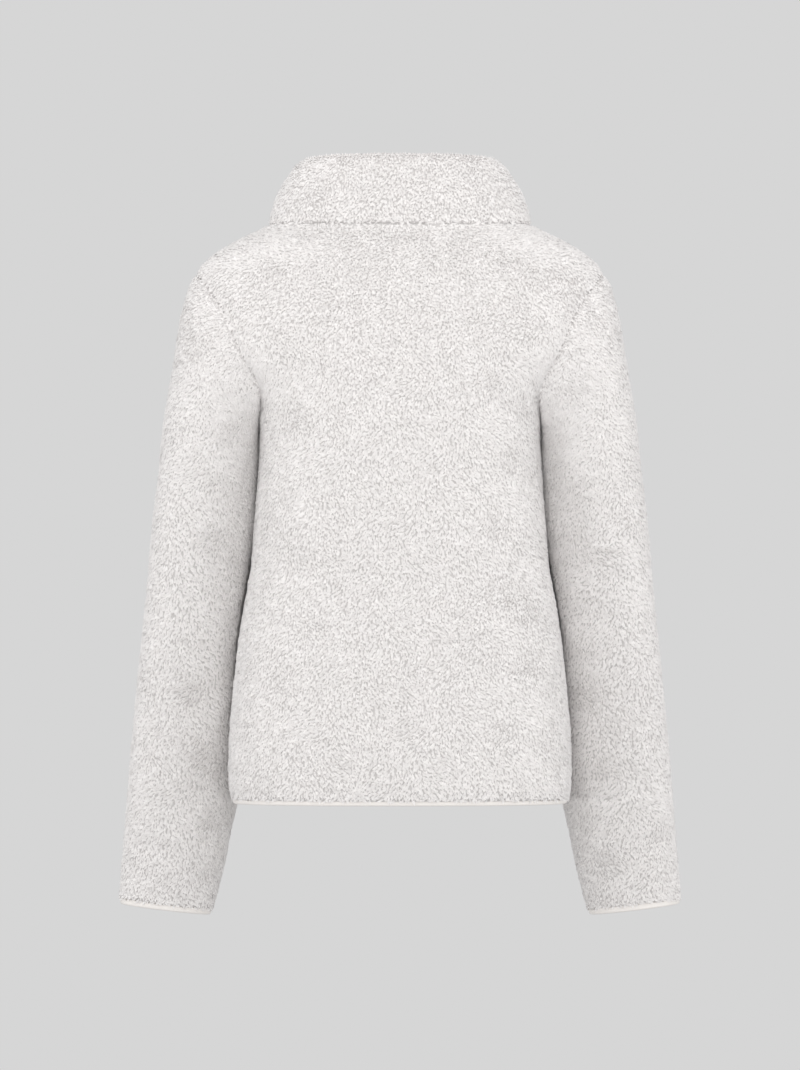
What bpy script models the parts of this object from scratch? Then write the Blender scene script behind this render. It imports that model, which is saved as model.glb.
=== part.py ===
# Teddy-fleece jacket, zipped to the top of its funnel collar and filled out as if worn.
# Metres. +X is the wearer's right, +Y the wearer's front, +Z up.
# The origin lies between the shoulders, level with the sides of the neck seam.

import bmesh
import bpy
import numpy as np
from mathutils import Matrix

CLOTH = 0.008            # backing and pile together
SEAM_GAP = 0.0003        # between neighbouring pieces
MITRE_LIMIT = 1.35       # longest wall across a seam, in cloth thicknesses

HEM_HEIGHT = -0.5735     # lower edge of the fleece
UNDERARM_HEIGHT = -0.197
SHOULDER_TIP_HEIGHT = -0.050
ARMHOLE_HALF_DEPTH = 0.073
NECK_BACK_HEIGHT = -0.003
NECK_FRONT_HEIGHT = -0.060
NECK_FRONT_CURVE = 1.7   # how late the front neckline drops

ZIP_OPENING = 0.007      # from the centre line to each front's edge
TAPE_DEPTH = 0.0032      # from the pile's surface back to the tape
TAPE_THICKNESS = 0.0016
TAPE_SPREAD = 0.0014     # from the centre line to a tape's edge above the slider
SLIDER_ROW = 4           # the collar's row that the slider's middle is level with
TAPE_LAST_ROW = 5        # the collar's row that the tapes end at

# The slider lies on the tapes: heights are out from the tape's middle, lengths run up the zip.
SLIDER_LENGTH = 0.0110
SLIDER_HALF_WIDTH = 0.0043
SLIDER_FOOT_HALF_WIDTH = 0.0031
SLIDER_CORNER = 0.0009
PLATE_INNER = 0.0019
PLATE_OUTER = 0.0032
POST_HALF_WIDTH = 0.0011
POST_START = 0.0005
POST_END = 0.0040
BRIDGE_HALF_WIDTH = 0.0011
BRIDGE_HEIGHT = 0.0028
BRIDGE_BAR = 0.0008
BRIDGE_LEG = 0.0009
BRIDGE_LOW = 0.00185     # from the tab's axis down to the bridge's end
BRIDGE_HIGH = 0.00315    # from the tab's axis up to its other end
AXIS_RISE = 0.0010       # from the front plate out to the tab's axis
AXIS_UP = -0.0006        # from the slider's middle to the axis

TAB_LENGTH = 0.0200
TAB_THICKNESS = 0.0009
TAB_HALF_WIDTH = 0.0032
TAB_END_HALF_WIDTH = 0.0026
TAB_BAR = 0.0010
TAB_HOLE_LENGTH = 0.0032
TAB_HOLE_HALF_WIDTH = 0.0017

BINDING_THICKNESS = 0.0042
BINDING_INSET = 0.0022   # from the pile's surface to the binding
HEM_BINDING_HEIGHT = 0.0062
CUFF_BINDING_HEIGHT = 0.0075

SLEEVE_CLEARANCE = 0.0035
COLLAR_THICKNESS = 0.0105
COLLAR_CREST_HALF_WIDTH = 0.102
COLLAR_CREST_BACK = 0.0620
COLLAR_CREST_FRONT = 0.0600
COLLAR_CREST_SQUARE = 2.35
COLLAR_CREST_HEIGHT = 0.0665
COLLAR_CREST_DROP = 0.0088     # from the centre back down to the side
COLLAR_CREST_CURVE = 2.20      # how much faster it drops towards the front
COLLAR_LEAN_CURVE = 1.95       # upright at the neck, leaning in at the top

SIDE_SEAM_ROWS = 12
ARMHOLE_ROWS = 12
NECK_HALF_COLUMNS = 8
SHOULDER_COLUMNS = 5
SLEEVE_ROWS = 22
HEM_BINDING_HALF_COLUMNS = 26
SHARP_EDGE = 50          # degrees

# Level sections of the body: half width at the side, how far forward the widest point is, depth behind
# and in front of that point, and how square the back and the front are (2 is an ellipse).
BODY_COLUMNS = ("height", "half_width", "middle", "back", "front", "back_square", "front_square")
BODY_SECTIONS = (
    (0.006, 0.1195, 0.000, 0.0700, 0.0360, 2.30, 2.20),
    (0.000, 0.1300, 0.000, 0.0720, 0.0420, 2.30, 2.20),
    (-0.006, 0.1410, 0.000, 0.0745, 0.0480, 2.30, 2.20),
    (-0.014, 0.1580, 0.000, 0.0785, 0.0545, 2.30, 2.20),
    (-0.026, 0.1795, 0.000, 0.0845, 0.0635, 2.30, 2.20),
    (-0.038, 0.1950, 0.000, 0.0895, 0.0715, 2.30, 2.20),
    (-0.050, 0.2030, 0.000, 0.0935, 0.0790, 2.30, 2.20),
    (-0.076, 0.2090, 0.000, 0.1005, 0.0930, 2.32, 2.20),
    (-0.106, 0.2070, -0.002, 0.1065, 0.1090, 2.36, 2.20),
    (-0.140, 0.1830, -0.004, 0.1095, 0.1240, 2.42, 2.22),
    (-0.165, 0.1540, -0.006, 0.1100, 0.1320, 2.50, 2.24),
    (-0.185, 0.1425, -0.008, 0.1095, 0.1375, 2.58, 2.26),
    (-0.206, 0.1385, -0.010, 0.1080, 0.1405, 2.62, 2.28),
    (-0.251, 0.1395, -0.012, 0.1050, 0.1415, 2.64, 2.30),
    (-0.296, 0.1430, -0.014, 0.1025, 0.1390, 2.62, 2.30),
    (-0.340, 0.1480, -0.015, 0.1015, 0.1360, 2.60, 2.30),
    (-0.371, 0.1535, -0.015, 0.1025, 0.1350, 2.58, 2.30),
    (-0.416, 0.1610, -0.015, 0.1060, 0.1355, 2.55, 2.32),
    (-0.461, 0.1660, -0.014, 0.1105, 0.1375, 2.52, 2.34),
    (-0.506, 0.1700, -0.013, 0.1145, 0.1395, 2.50, 2.36),
    (-0.548, 0.1710, -0.012, 0.1165, 0.1400, 2.50, 2.38),
    (-0.566, 0.1700, -0.012, 0.1160, 0.1390, 2.50, 2.38),
    (-0.582, 0.1665, -0.012, 0.1135, 0.1360, 2.50, 2.38),
)

# Rings down the right sleeve: outer and inner edge seen from behind, how far forward the ring's middle
# is, how much further forward its inner edge is, and half its depth from back to front.
SLEEVE_COLUMNS = ("outer_x", "outer_z", "inner_x", "inner_z", "middle", "skew", "half_depth")
SLEEVE_RINGS = (
    (0.2030, -0.0500, 0.1388, -0.1970, -0.005, 0.000, 0.0730),
    (0.2090, -0.0585, 0.1410, -0.2040, -0.004, 0.003, 0.0740),
    (0.2145, -0.0755, 0.1415, -0.2130, -0.002, 0.008, 0.0745),
    (0.2198, -0.0980, 0.1405, -0.2250, 0.000, 0.014, 0.0740),
    (0.2245, -0.1280, 0.1380, -0.2410, 0.003, 0.020, 0.0725),
    (0.2300, -0.1620, 0.1365, -0.2620, 0.007, 0.024, 0.0705),
    (0.2365, -0.2010, 0.1360, -0.2870, 0.011, 0.026, 0.0685),
    (0.2415, -0.2500, 0.1365, -0.3180, 0.017, 0.027, 0.0660),
    (0.2478, -0.3000, 0.1380, -0.3520, 0.024, 0.027, 0.0640),
    (0.2522, -0.3500, 0.1400, -0.3880, 0.031, 0.026, 0.0620),
    (0.2575, -0.4000, 0.1430, -0.4260, 0.038, 0.024, 0.0600),
    (0.2632, -0.4500, 0.1475, -0.4680, 0.046, 0.021, 0.0575),
    (0.2682, -0.5000, 0.1525, -0.5140, 0.054, 0.017, 0.0545),
    (0.2728, -0.5450, 0.1585, -0.5570, 0.062, 0.013, 0.0515),
    (0.2768, -0.5910, 0.1692, -0.6020, 0.069, 0.009, 0.0480),
    (0.2808, -0.6330, 0.1775, -0.6440, 0.075, 0.005, 0.0440),
    (0.2846, -0.6762, 0.1888, -0.6880, 0.080, 0.002, 0.0385),
)

# Soft creases of the right sleeve: place round it (0 is outside, 90 the back, 180 the body's side),
# place along it, both half widths and depth.
FOLD_COLUMNS = ("around", "along", "spread_around", "spread_along", "depth")
SLEEVE_FOLDS = (
    (150.0, 0.640, 38.0, 0.014, 0.0024),
    (165.0, 0.685, 46.0, 0.013, 0.0030),
    (205.0, 0.600, 50.0, 0.016, 0.0030),
    (225.0, 0.655, 52.0, 0.015, 0.0034),
    (250.0, 0.710, 40.0, 0.015, 0.0026),
    (300.0, 0.300, 40.0, 0.030, 0.0024),
    (60.0, 0.915, 30.0, 0.013, 0.0020),
)

# Rows up the collar: share of its height, and its thickness there as a share of the full one.
COLLAR_ROWS = (
    (0.00, 0.80),
    (0.18, 1.00),
    (0.36, 1.00),
    (0.54, 1.00),
    (0.70, 1.00),
    (0.84, 0.97),
    (0.94, 0.72),
    (1.00, 0.16),
)

# Rows down a binding: share of its height, and how far both faces close in, in binding thicknesses.
BINDING_ROWS = (
    (0.00, 0.00),
    (0.55, 0.00),
    (0.88, 0.22),
    (1.00, 0.40),
)


def clear_scene():
    for thing in list(bpy.data.objects):
        bpy.data.objects.remove(thing, do_unlink=True)


def spline(knots, values, places):
    """Natural cubic through the values at rising knots, read at the places."""
    count = len(knots)
    step = np.diff(knots)
    slope = np.diff(values) / step
    system = np.eye(count)
    right = np.zeros(count)
    for row in range(1, count - 1):
        system[row, row - 1] = step[row - 1]
        system[row, row] = 2 * (step[row - 1] + step[row])
        system[row, row + 1] = step[row]
        right[row] = 6 * (slope[row] - slope[row - 1])
    bend = np.linalg.solve(system, right)
    places = np.asarray(places, dtype=float)
    span = np.clip(np.searchsorted(knots, places) - 1, 0, count - 2)
    width = step[span]
    ahead = (knots[span + 1] - places) / width
    behind = 1 - ahead
    return (
        ahead * values[span]
        + behind * values[span + 1]
        + ((ahead**3 - ahead) * bend[span] + (behind**3 - behind) * bend[span + 1]) * width**2 / 6
    )


def unit(vectors):
    return vectors / np.linalg.norm(vectors, axis=-1, keepdims=True)


def smooth_step(low, high, value):
    part = np.clip((value - low) / (high - low), 0, 1)
    return part * part * (3 - 2 * part)


def body_section(height):
    """The named numbers of the body's section at each height."""
    rows = np.array(BODY_SECTIONS)[::-1]
    return {
        name: spline(rows[:, 0], rows[:, column], height)
        for column, name in enumerate(BODY_COLUMNS)
        if name != "height"
    }


def body_reach(points):
    """1 on the body's surface, less inside it and more outside, along level lines from its middle."""
    section = body_section(points[..., 2])
    across = np.abs(points[..., 0]) / section["half_width"]
    along = points[..., 1] - section["middle"]
    behind = along < 0
    depth = np.where(behind, section["back"], section["front"])
    square = np.where(behind, section["back_square"], section["front_square"])
    return (across**square + (np.abs(along) / depth) ** square) ** (1 / square)


def onto_body(points):
    """Points moved along level lines from the body's middle onto its surface."""
    middle = body_section(points[..., 2])["middle"]
    reach = body_reach(points)
    moved = points.copy()
    moved[..., 0] = points[..., 0] / reach
    moved[..., 1] = middle + (points[..., 1] - middle) / reach
    return moved


def body_normal(points):
    """Outward direction of the body's surface, from how its reach changes over a short step."""
    step = 0.0004
    slope = np.zeros_like(points)
    for axis in range(3):
        shift = np.zeros(3)
        shift[axis] = step
        slope[..., axis] = body_reach(points + shift) - body_reach(points - shift)
    return unit(slope)


def body_ring(height, angle):
    """Points of the body at an angle from the centre back, positive towards the wearer's right."""
    section = body_section(height)
    behind = np.cos(angle) > 0
    depth = np.where(behind, section["back"], section["front"])
    power = 2 / np.where(behind, section["back_square"], section["front_square"])
    x = section["half_width"] * np.sign(np.sin(angle)) * np.abs(np.sin(angle)) ** power
    y = section["middle"] - depth * np.sign(np.cos(angle)) * np.abs(np.cos(angle)) ** power
    return np.stack([x, y, np.broadcast_to(height, x.shape)], axis=-1)


def body_half_width(y, z):
    """How far the body reaches sideways at a place seen from its side, and 0 past it."""
    section = body_section(z)
    along = y - section["middle"]
    behind = along < 0
    depth = np.where(behind, section["back"], section["front"])
    square = np.where(behind, section["back_square"], section["front_square"])
    left = np.clip(1 - (np.abs(along) / depth) ** square, 0, None)
    reach = section["half_width"] * left ** (1 / square)
    return np.where(z < HEM_HEIGHT - 2 * HEM_BINDING_HEIGHT, 0, reach)


def centre_front_angle(height):
    """Angle at which the body is a zip's opening off the centre line."""
    section = body_section(height)
    return np.pi - np.arcsin((ZIP_OPENING / section["half_width"]) ** (section["front_square"] / 2))


def side_seam():
    height = np.linspace(HEM_HEIGHT, UNDERARM_HEIGHT, SIDE_SEAM_ROWS + 1)
    return body_ring(height, np.full(height.shape, np.pi / 2))


def armhole_half(side):
    """The right armhole from the underarm up to the shoulder; side is -1 behind and 1 in front."""
    turn = np.linspace(0, np.pi, ARMHOLE_ROWS + 1)
    middle_height = (UNDERARM_HEIGHT + SHOULDER_TIP_HEIGHT) / 2
    half_height = (SHOULDER_TIP_HEIGHT - UNDERARM_HEIGHT) / 2
    z = middle_height - half_height * np.cos(turn)
    y = body_section(z)["middle"] + side * ARMHOLE_HALF_DEPTH * np.sin(turn)
    return np.stack([body_half_width(y, z), y, z], axis=-1)


def shoulder_seam():
    """From the neck out to the right shoulder's tip, along the top of the body."""
    height = np.linspace(0, SHOULDER_TIP_HEIGHT, SHOULDER_COLUMNS + 1)
    return body_ring(height, np.full(height.shape, np.pi / 2))


def neck_back_half():
    """From the centre back to the right end of the back's neckline."""
    angle = np.linspace(0, np.pi / 2, NECK_HALF_COLUMNS + 1)
    return body_ring(NECK_BACK_HEIGHT * np.cos(angle) ** 2, angle)


def neck_front_half():
    """From beside the zip to the right end of the front's neckline."""
    last = centre_front_angle(np.array(NECK_FRONT_HEIGHT))
    angle = np.linspace(last, np.pi / 2, NECK_HALF_COLUMNS + 1)
    part = (angle - np.pi / 2) / (last - np.pi / 2)
    return body_ring(NECK_FRONT_HEIGHT * part**NECK_FRONT_CURVE, angle)


def mirrored(points):
    return points * np.array([-1.0, 1.0, 1.0])


def spread_between(bottom, top, first, last):
    """Grid between four edges, each row running from the first edge to the last."""
    s = np.linspace(0, 1, len(bottom))[None, :, None]
    t = np.linspace(0, 1, len(first))[:, None, None]
    between_rows = (1 - t) * bottom[None] + t * top[None]
    between_sides = (1 - s) * first[:, None] + s * last[:, None]
    corners = (1 - t) * ((1 - s) * bottom[0] + s * bottom[-1]) + t * ((1 - s) * top[0] + s * top[-1])
    return between_rows + between_sides - corners


def grid_normal(points, around=False):
    """Direction square to a grid, on the side that rows crossed with columns give."""
    if around:
        along_columns = np.roll(points, -1, axis=1) - np.roll(points, 1, axis=1)
    else:
        along_columns = np.gradient(points, axis=1)
    return unit(np.cross(np.gradient(points, axis=0), along_columns))


def leaving(along, normal, towards):
    """Direction in which a piece runs off square to its seam, on the side that towards names."""
    across = unit(np.cross(along, normal))
    return across * np.sign(np.sum(across * towards, axis=-1, keepdims=True))


def seam_wall(line, closed, body_side, other_normal, other_side):
    """The wall across a seam of the body with another piece, halfway between the two."""
    if closed:
        along = np.roll(line, -1, axis=0) - np.roll(line, 1, axis=0)
    else:
        along = np.gradient(line, axis=0)
    normal = body_normal(line)
    off_body = leaving(along, normal, body_side)
    off_other = leaving(along, other_normal, other_side)
    together = unit(normal + other_normal + off_body + off_other)
    lean = np.clip(np.sum(together * normal, axis=-1, keepdims=True), 1 / MITRE_LIMIT, 1)
    return -together * CLOTH / lean


def seam_push(outer, wall, rows, columns, inside):
    """Moves an edge back by half the gap, square to its seam and to its wall."""
    line = outer[rows, columns]
    along = np.gradient(line, axis=0)
    push = unit(np.cross(along, wall[rows, columns]))
    towards = outer[np.add(rows, inside[0]), np.add(columns, inside[1])] - line
    push *= np.sign(np.sum(push * towards, axis=-1, keepdims=True))
    return push * SEAM_GAP / 2


def part_edges(outer, wall, edges):
    """Outer and inner points with each listed edge moved back from its seam."""
    shift = np.zeros_like(outer)
    for rows, columns, inside in edges:
        shift[rows, columns] += seam_push(outer, wall, rows, columns, inside)
    return outer + shift, outer + wall + shift


def rim_triangles(lower, upper, inner_start, points):
    """Two triangles across a wall's rim, cut the same way on both sides of a seam."""
    ranking = np.array([0.41, 0.27, 1.0])    # any direction that no rim edge is square to
    if points[lower] @ ranking < points[upper] @ ranking:
        first, second = lower, upper
    else:
        first, second = upper, lower
    return [
        (first, second, second + inner_start),
        (first, second + inner_start, first + inner_start),
    ]


def wall_mesh(outer, inner, around=False):
    """Closed wall between two like grids, whose rows may close into rings."""
    rows, columns = outer.shape[:2]
    points = np.concatenate([outer.reshape(-1, 3), inner.reshape(-1, 3)])
    inner_start = rows * columns
    faces = []
    last = columns if around else columns - 1
    for row in range(rows - 1):
        for column in range(last):
            a = row * columns + column
            b = row * columns + (column + 1) % columns
            face = np.array((a, b, b + columns, a + columns))
            faces.append(tuple(face))
            faces.append(tuple(face[::-1] + inner_start))
    rims = []
    for row in (0, rows - 1):
        for column in range(last):
            rims.append((row * columns + column, row * columns + (column + 1) % columns))
    if not around:
        for column in (0, columns - 1):
            for row in range(rows - 1):
                rims.append((row * columns + column, (row + 1) * columns + column))
    for lower, upper in rims:
        faces.extend(rim_triangles(lower, upper, inner_start, points))
    return points, faces


def material(name, colour, roughness, metallic=0.0):
    made = bpy.data.materials.new(name)
    made.use_nodes = True
    shader = made.node_tree.nodes["Principled BSDF"]
    shader.inputs["Base Color"].default_value = (*colour, 1.0)
    shader.inputs["Roughness"].default_value = roughness
    shader.inputs["Metallic"].default_value = metallic
    return made


def add_object(name, points, faces, look, smooth=True):
    mesh = bpy.data.meshes.new(name)
    mesh.from_pydata([tuple(point) for point in points], [], faces)
    shape = bmesh.new()
    shape.from_mesh(mesh)
    bmesh.ops.recalc_face_normals(shape, faces=shape.faces)
    shape.to_mesh(mesh)
    shape.free()
    if smooth:
        mesh.shade_smooth()
        mesh.set_sharp_from_angle(angle=np.radians(SHARP_EDGE))
    mesh.materials.append(look)
    made = bpy.data.objects.new(name, mesh)
    bpy.context.scene.collection.objects.link(made)
    return made


def sleeve_fold_depth(around, along):
    """How far the sleeve's surface dips at each place, from its table of creases."""
    depth = np.zeros(np.broadcast(around, along).shape)
    for row in SLEEVE_FOLDS:
        fold = dict(zip(FOLD_COLUMNS, row))
        turn = (around - fold["around"] + 180.0) % 360.0 - 180.0
        place = along - fold["along"]
        off_centre = (turn / fold["spread_around"]) ** 2 + (place / fold["spread_along"]) ** 2
        depth += fold["depth"] * np.exp(-off_centre)
    return depth


def sleeve_surface():
    """Outer points of the right sleeve, in rings from the armhole down to the cuff."""
    rings = np.array(SLEEVE_RINGS)
    knots = np.arange(len(rings), dtype=float)
    place = (len(rings) - 1) * np.linspace(0, 1, SLEEVE_ROWS + 1)
    size = {}
    for column, name in enumerate(SLEEVE_COLUMNS):
        size[name] = spline(knots, rings[:, column], place)[:, None]
    back = armhole_half(-1)
    front = armhole_half(1)
    armhole = np.concatenate([back[::-1], front[1:-1]])
    count = len(armhole)
    turn = np.arange(count) * 2 * np.pi / count
    out = np.cos(turn)[None]
    rear = np.sin(turn)[None]
    x = (size["outer_x"] + size["inner_x"]) / 2 + (size["outer_x"] - size["inner_x"]) / 2 * out
    y = size["middle"] - size["skew"] * out - size["half_depth"] * rear
    z = (size["outer_z"] + size["inner_z"]) / 2 + (size["outer_z"] - size["inner_z"]) / 2 * out
    points = np.stack([x, y, z], axis=-1)
    along = np.linspace(0, 1, SLEEVE_ROWS + 1)[:, None]
    fade = 1 - smooth_step(0.0, 0.30, along)[..., None]
    points += (armhole - points[0])[None] * fade
    normal = -grid_normal(points, around=True)
    points -= normal * sleeve_fold_depth(np.degrees(turn)[None], along)[..., None]
    from_seam = np.linalg.norm(points - armhole[None], axis=-1)
    clearance = SLEEVE_CLEARANCE * smooth_step(0.0, 0.020, from_seam)
    body = body_half_width(points[..., 1], points[..., 2]) + clearance
    points[1:, :, 0] = np.maximum(points[1:, :, 0], body[1:])
    return points


def neck_ring():
    """The whole neckline from the right of the zip round the back to its left."""
    right_front = neck_front_half()
    right_back = neck_back_half()[::-1]
    right = np.concatenate([right_front, right_back[1:]])
    return np.concatenate([right, mirrored(right[::-1])[1:]])


def collar_surface():
    """Outer points of the collar, in rows from the neckline up to its crest."""
    base = neck_ring()
    power = 2 / COLLAR_CREST_SQUARE
    last = np.pi - np.arcsin((ZIP_OPENING / COLLAR_CREST_HALF_WIDTH) ** (1 / power))
    front_turn = np.linspace(last, np.pi / 2, NECK_HALF_COLUMNS + 1)
    back_turn = np.linspace(np.pi / 2, 0, NECK_HALF_COLUMNS + 1)
    half_turn = np.concatenate([front_turn, back_turn[1:]])
    turn = np.concatenate([half_turn, -half_turn[::-1][1:]])
    depth = np.where(np.cos(turn) > 0, COLLAR_CREST_BACK, COLLAR_CREST_FRONT)
    x = COLLAR_CREST_HALF_WIDTH * np.sign(np.sin(turn)) * np.abs(np.sin(turn)) ** power
    y = -depth * np.sign(np.cos(turn)) * np.abs(np.cos(turn)) ** power
    z = COLLAR_CREST_HEIGHT - COLLAR_CREST_DROP * (1 - np.cos(turn)) ** COLLAR_CREST_CURVE
    crest = np.stack([x, y, z], axis=-1)
    rise = np.array(COLLAR_ROWS)[:, 0][:, None, None]
    across = base[None] + (crest - base)[None] * rise**COLLAR_LEAN_CURVE
    upward = base[None] + (crest - base)[None] * rise
    return np.stack([across[..., 0], across[..., 1], upward[..., 2]], axis=-1)


def make_body_and_collar(fleece):
    """Back, both fronts and the collar, which share their seams. Returns the zip's path."""
    angle = np.linspace(0, np.pi / 2, NECK_HALF_COLUMNS + SHOULDER_COLUMNS + 1)
    hem_back = body_ring(np.full(angle.shape, HEM_HEIGHT), angle)
    side = side_seam()
    right_back_edge = np.concatenate([side, armhole_half(-1)[1:]])
    right_front_edge = np.concatenate([side, armhole_half(1)[1:]])
    shoulder = shoulder_seam()
    back_top = np.concatenate([neck_back_half(), shoulder[1:]])
    centre_height = np.linspace(HEM_HEIGHT, NECK_BACK_HEIGHT, SIDE_SEAM_ROWS + ARMHOLE_ROWS + 1)
    centre_back = body_ring(centre_height, np.zeros(centre_height.shape))
    right_back = onto_body(spread_between(hem_back, back_top, centre_back, right_back_edge))
    back = np.concatenate([mirrored(right_back)[:, :0:-1], right_back], axis=1)

    rows = SIDE_SEAM_ROWS + ARMHOLE_ROWS + 1
    opening_height = np.linspace(HEM_HEIGHT, NECK_FRONT_HEIGHT, rows)
    opening = body_ring(opening_height, centre_front_angle(opening_height))
    front_angle = np.linspace(
        centre_front_angle(np.array(HEM_HEIGHT)), np.pi / 2, NECK_HALF_COLUMNS + SHOULDER_COLUMNS + 1
    )
    hem_front = body_ring(np.full(front_angle.shape, HEM_HEIGHT), front_angle)
    front_top = np.concatenate([neck_front_half(), shoulder[1:]])
    front = onto_body(spread_between(hem_front, front_top, opening, right_front_edge))

    sleeve = sleeve_surface()
    collar = collar_surface()
    sleeve_normal = -grid_normal(sleeve, around=True)
    collar_normal = grid_normal(collar)

    back_wall = -body_normal(back) * CLOTH
    front_wall = -body_normal(front) * CLOTH
    sleeve_wall = -sleeve_normal * CLOTH
    thickness = (np.array(COLLAR_ROWS)[:, 1] * COLLAR_THICKNESS)[:, None, None]
    collar_wall = -collar_normal * thickness

    armhole = sleeve[0]
    from_middle = armhole - np.mean(armhole, axis=0)
    armhole_wall = seam_wall(armhole, True, from_middle, sleeve_normal[0], sleeve[1] - sleeve[0])
    sleeve_wall[0] = armhole_wall
    behind = armhole_wall[: ARMHOLE_ROWS + 1][::-1]
    ahead = np.concatenate([armhole_wall[ARMHOLE_ROWS:], armhole_wall[:1]])
    back_wall[SIDE_SEAM_ROWS:, -1] = behind
    back_wall[SIDE_SEAM_ROWS:, 0] = mirrored(behind)
    front_wall[SIDE_SEAM_ROWS:, -1] = ahead

    neck = collar[0]
    from_middle = neck - np.mean(neck, axis=0)
    neck_wall = seam_wall(neck, False, from_middle, collar_normal[0], collar[1] - collar[0])
    collar_wall[0] = neck_wall
    first_back = NECK_HALF_COLUMNS
    back_neck = neck_wall[first_back : first_back + 2 * NECK_HALF_COLUMNS + 1][::-1]
    back_wall[-1, SHOULDER_COLUMNS : SHOULDER_COLUMNS + 2 * NECK_HALF_COLUMNS + 1] = back_neck
    front_wall[-1, : NECK_HALF_COLUMNS + 1] = neck_wall[: NECK_HALF_COLUMNS + 1]
    for wall in (back_wall, front_wall):
        wall[0, :, 2] = 0
        wall[0] = unit(wall[0]) * CLOTH
    for wall in (front_wall, collar_wall):
        wall[:, 0, 0] = 0
    collar_wall[:, -1, 0] = 0

    side_rows = np.arange(SIDE_SEAM_ROWS + 1)
    arm_rows = np.arange(SIDE_SEAM_ROWS, rows)
    last_column = back.shape[1] - 1
    neck_columns = np.arange(SHOULDER_COLUMNS, SHOULDER_COLUMNS + 2 * NECK_HALF_COLUMNS + 1)
    left_shoulder = np.arange(SHOULDER_COLUMNS + 1)
    right_shoulder = np.arange(last_column - SHOULDER_COLUMNS, last_column + 1)
    back_edges = []
    for run in (side_rows, arm_rows):
        back_edges.append((run, np.full(run.shape, last_column), (0, -1)))
        back_edges.append((run, np.zeros(run.shape, dtype=int), (0, 1)))
    for run in (left_shoulder, neck_columns, right_shoulder):
        back_edges.append((np.full(run.shape, rows - 1), run, (-1, 0)))
    outer, inner = part_edges(back, back_wall, back_edges)
    add_object("back", *wall_mesh(outer, inner), fleece)

    last_column = front.shape[1] - 1
    front_edges = [
        (side_rows, np.full(side_rows.shape, last_column), (0, -1)),
        (arm_rows, np.full(arm_rows.shape, last_column), (0, -1)),
    ]
    for run in (np.arange(NECK_HALF_COLUMNS + 1), np.arange(NECK_HALF_COLUMNS, last_column + 1)):
        front_edges.append((np.full(run.shape, rows - 1), run, (-1, 0)))
    front_outer, front_inner = part_edges(front, front_wall, front_edges)
    add_object("front_right", *wall_mesh(front_outer, front_inner), fleece)
    add_object("front_left", *wall_mesh(mirrored(front_outer), mirrored(front_inner)), fleece)

    columns = np.arange(collar.shape[1])
    outer, inner = part_edges(collar, collar_wall, [(np.zeros(columns.shape, dtype=int), columns, (1, 0))])
    add_object("collar", *wall_mesh(outer, inner), fleece)

    ring_columns = np.arange(sleeve.shape[1] + 1) % sleeve.shape[1]
    sleeve_edge = (np.zeros(ring_columns.shape, dtype=int), ring_columns, (1, 0))
    shift = np.zeros_like(sleeve)
    push = seam_push(sleeve, sleeve_wall, *sleeve_edge)
    shift[0] = push[:-1]
    outer = sleeve + shift
    inner = sleeve + sleeve_wall + shift
    add_object("sleeve_right", *wall_mesh(outer, inner, around=True), fleece)
    add_object("sleeve_left", *wall_mesh(mirrored(outer), mirrored(inner), around=True), fleece)

    body_path = np.stack([front[:, 0], unit(front_wall[:, 0])], axis=1)
    collar_path = np.stack([collar[:, 0], unit(collar_wall[:, 0])], axis=1)
    return body_path, collar_path, sleeve, sleeve_wall


def make_hem_binding(cream):
    """Thin round-edged ring under the fleece, open at the zip."""
    first = centre_front_angle(np.array(HEM_HEIGHT))
    right = np.linspace(first, 0, HEM_BINDING_HALF_COLUMNS + 1)
    angle = np.concatenate([right, -right[::-1][1:]])
    ring = body_ring(np.full(angle.shape, HEM_HEIGHT), angle)
    inward = -body_normal(ring)
    inward[:, 2] = 0
    inward = unit(inward)
    inward[0] = inward[-1] = (0, -1, 0)
    outer, inner = binding_walls(ring, inward, np.array([0, 0, -1.0]), HEM_BINDING_HEIGHT)
    for grid in (outer, inner):
        grid[:, 0, 0] = ZIP_OPENING
        grid[:, -1, 0] = -ZIP_OPENING
    add_object("hem_binding", *wall_mesh(outer, inner), cream)


def binding_walls(ring, inward, down, height):
    """Outer and inner rows of a binding below a ring, rounded along its free edge."""
    rows = np.array(BINDING_ROWS)
    drop = rows[:, 0][:, None, None]
    tuck = rows[:, 1][:, None, None] * BINDING_THICKNESS
    start = ring[None] + down * (SEAM_GAP + (height - SEAM_GAP) * drop)
    outer = start + inward[None] * (BINDING_INSET + tuck)
    inner = start + inward[None] * (BINDING_INSET + BINDING_THICKNESS - tuck)
    return outer, inner


def make_cuff_bindings(sleeve, sleeve_wall, cream):
    ring = sleeve[-1]
    inward = unit(sleeve_wall[-1])
    across = ring[0] - ring[len(ring) // 2]
    down = unit(np.cross(across, np.array([0.0, 1.0, 0.0])))
    if down[2] > 0:
        down = -down
    inward = unit(inward - np.sum(inward * down, axis=-1, keepdims=True) * down)
    outer, inner = binding_walls(ring, inward, down, CUFF_BINDING_HEIGHT)
    add_object("cuff_binding_right", *wall_mesh(outer, inner, around=True), cream)
    add_object("cuff_binding_left", *wall_mesh(mirrored(outer), mirrored(inner), around=True), cream)


def placed(thing, origin, up, out):
    """Sets an object whose Z runs up the zip and whose Y points away from the cloth."""
    side = np.cross(out, up)
    thing.matrix_world = Matrix(
        (
            (side[0], out[0], up[0], origin[0]),
            (side[1], out[1], up[1], origin[1]),
            (side[2], out[2], up[2], origin[2]),
            (0, 0, 0, 1),
        )
    )


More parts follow.
